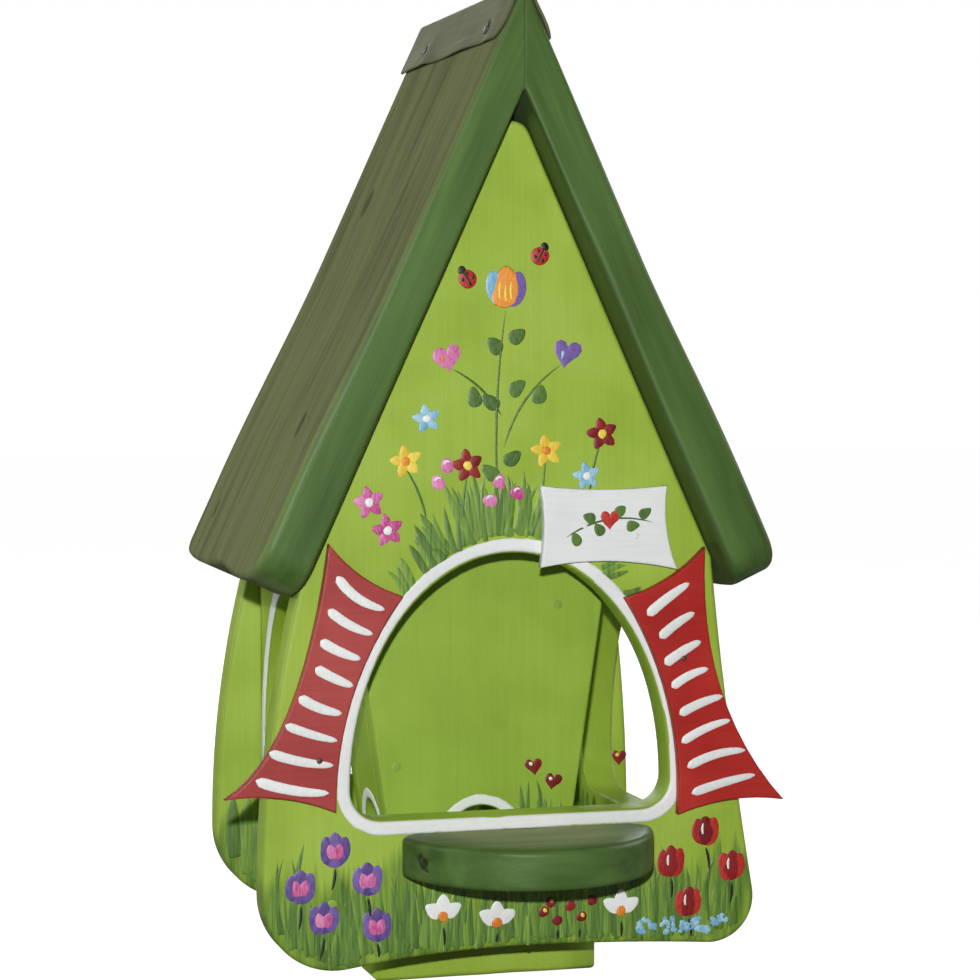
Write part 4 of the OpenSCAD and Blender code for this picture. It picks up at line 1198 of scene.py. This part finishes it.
# filled screw heads
screws_paint, screws = [], [(-79.4, 44.1), (84.6, 39.5)]
for spots, face in ((screws, front_face), ([(-41, 95), (33, 165)], silo_face)):
    screws_paint.append((drops(round_shape, spots, 2.2, film=0.12), *face))

grass_green = craft_acrylic("green_acrylic_dry_brushed", [(0.25, "#4A6B29"), (0.5, "#5F8432"), (0.8, "#86A63E")],
                            streaks=(0.9, 0.9, 16))
leaf_green = craft_acrylic("leaf_green_craft_acrylic", [(0.3, "#3C5A24"), (0.7, "#5C7F36")])
filler = craft_acrylic("lime_acrylic_over_filled_screw_heads", [(0.3, "#7A9634"), (0.7, "#8EAB3E")])
painted("filled_screw_heads", screws_paint, filler, "panel_paint")
painted("painted_grass", grass, grass_green, "panel_paint")
painted("painted_leaves", leaves, leaf_green, "panel_paint")
painted("painted_stems_and_dots", ticks, craft_acrylic("black_craft_acrylic", [(0.3, "#10140E"), (0.7, "#1F241B")]),
        "panel_paint")
hues = {"purple": ("#4E3A7E", "#7A62A8"), "pink": ("#B8367E", "#E08CBB"), "red": ("#971C18", "#C2352B"),
        "dark_red": ("#6E1014", "#96201E"), "orange": ("#D87418", "#F0A040"), "yellow": ("#DDB82A", "#F2DC5A"),
        "white": ("#E1E4E0", "#EEF0ED"), "blue": ("#6FA8C8", "#A8D2E4")}
for colour, (dark, light) in hues.items():
    paint = craft_acrylic(colour + "_craft_acrylic", [(0.3, dark), (0.7, light)])
    painted("painted_" + colour, paints[colour], paint, "panel_paint")

# ---- Studio ----
# A pale floor and a plain white surround with soft light: a small softbox over the camera, and
# large panels to the sides and behind, so that every side of the feeder is lit.

camera = bpy.data.objects.new("camera", bpy.data.cameras.new("camera"))
bpy.context.scene.collection.objects.link(camera)
camera.data.sensor_width = 36.0
camera.data.lens = 102.3
camera.data.clip_end = 20.0
front_y = corners("front_panel")[0][1]
camera_place = np.array([-332.45, front_y - 1139, 278.6])
camera.location = camera_place * MM
camera.rotation_euler = (math.radians(90 - 2.906), 0, math.radians(-15.8))
bpy.context.scene.camera = camera


def softbox(name, place, aim, width, power):
    """A square lamp at a place, turned towards a point."""
    lamp = bpy.data.lights.new(name, "AREA")
    lamp.energy = power
    lamp.size = width * MM
    obj = bpy.data.objects.new(name, lamp)
    bpy.context.scene.collection.objects.link(obj)
    way = np.asarray(aim, float) - place
    obj.location = np.asarray(place) * MM
    flat = math.hypot(way[0], way[1])
    obj.rotation_euler = (math.pi / 2 + math.atan2(way[2], flat), 0, math.atan2(-way[0], way[1]))
    return obj


middle = np.array([0, 0, 210])
softbox("front_softbox", camera_place + (-14, 4, 97), middle, 22, 12.4)
softbox("left_softbox", (-1300, 500, 700), middle, 700, 11)
softbox("right_softbox", (1300, 300, 700), middle, 700, 8)
softbox("back_softbox", (200, 1400, 600), middle, 700, 13)

world = bpy.data.worlds.new("studio")
bpy.context.scene.world = world
world.use_nodes = True
tree = world.node_tree
shader = tree.nodes["Background"]
light_path = add(tree, "LightPath")
glossy = add(tree, "MapRange", {0: light_path.outputs["Is Glossy Ray"], 3: 0.012, 4: 0.12})
strength = add(tree, "Math", {0: light_path.outputs["Is Camera Ray"], 1: glossy.outputs[0]}, operation="MAXIMUM")
shader.inputs["Color"].default_value = (1, 1, 1, 1)
tree.links.new(strength.outputs[0], shader.inputs["Strength"])

material, tree, shader, place = new_finish("pale_floor")
shader.inputs["Base Color"].default_value = linear("#757575")
shader.inputs["Roughness"].default_value = 0.9
light_path = add(tree, "LightPath")
glow = add(tree, "MapRange", {0: light_path.outputs["Is Camera Ray"], 3: 0.0, 4: 0.98})
shader.inputs["Emission Color"].default_value = (1, 1, 1, 1)
tree.links.new(glow.outputs[0], shader.inputs["Emission Strength"])
mesh = bpy.data.meshes.new("floor")
half = 6.0
mesh.from_pydata([(-half, -half, 0), (half, -half, 0), (half, half, 0), (-half, half, 0)], [], [(0, 1, 2, 3)])
mesh.materials.append(material)
floor = bpy.data.objects.new("floor", mesh)
bpy.context.scene.collection.objects.link(floor)
floor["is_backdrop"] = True
bpy.context.scene.view_settings.view_transform = "Standard"

size = {"cad": [list(cad_low), list(cad_high)], "visual": [list(v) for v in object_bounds()]}
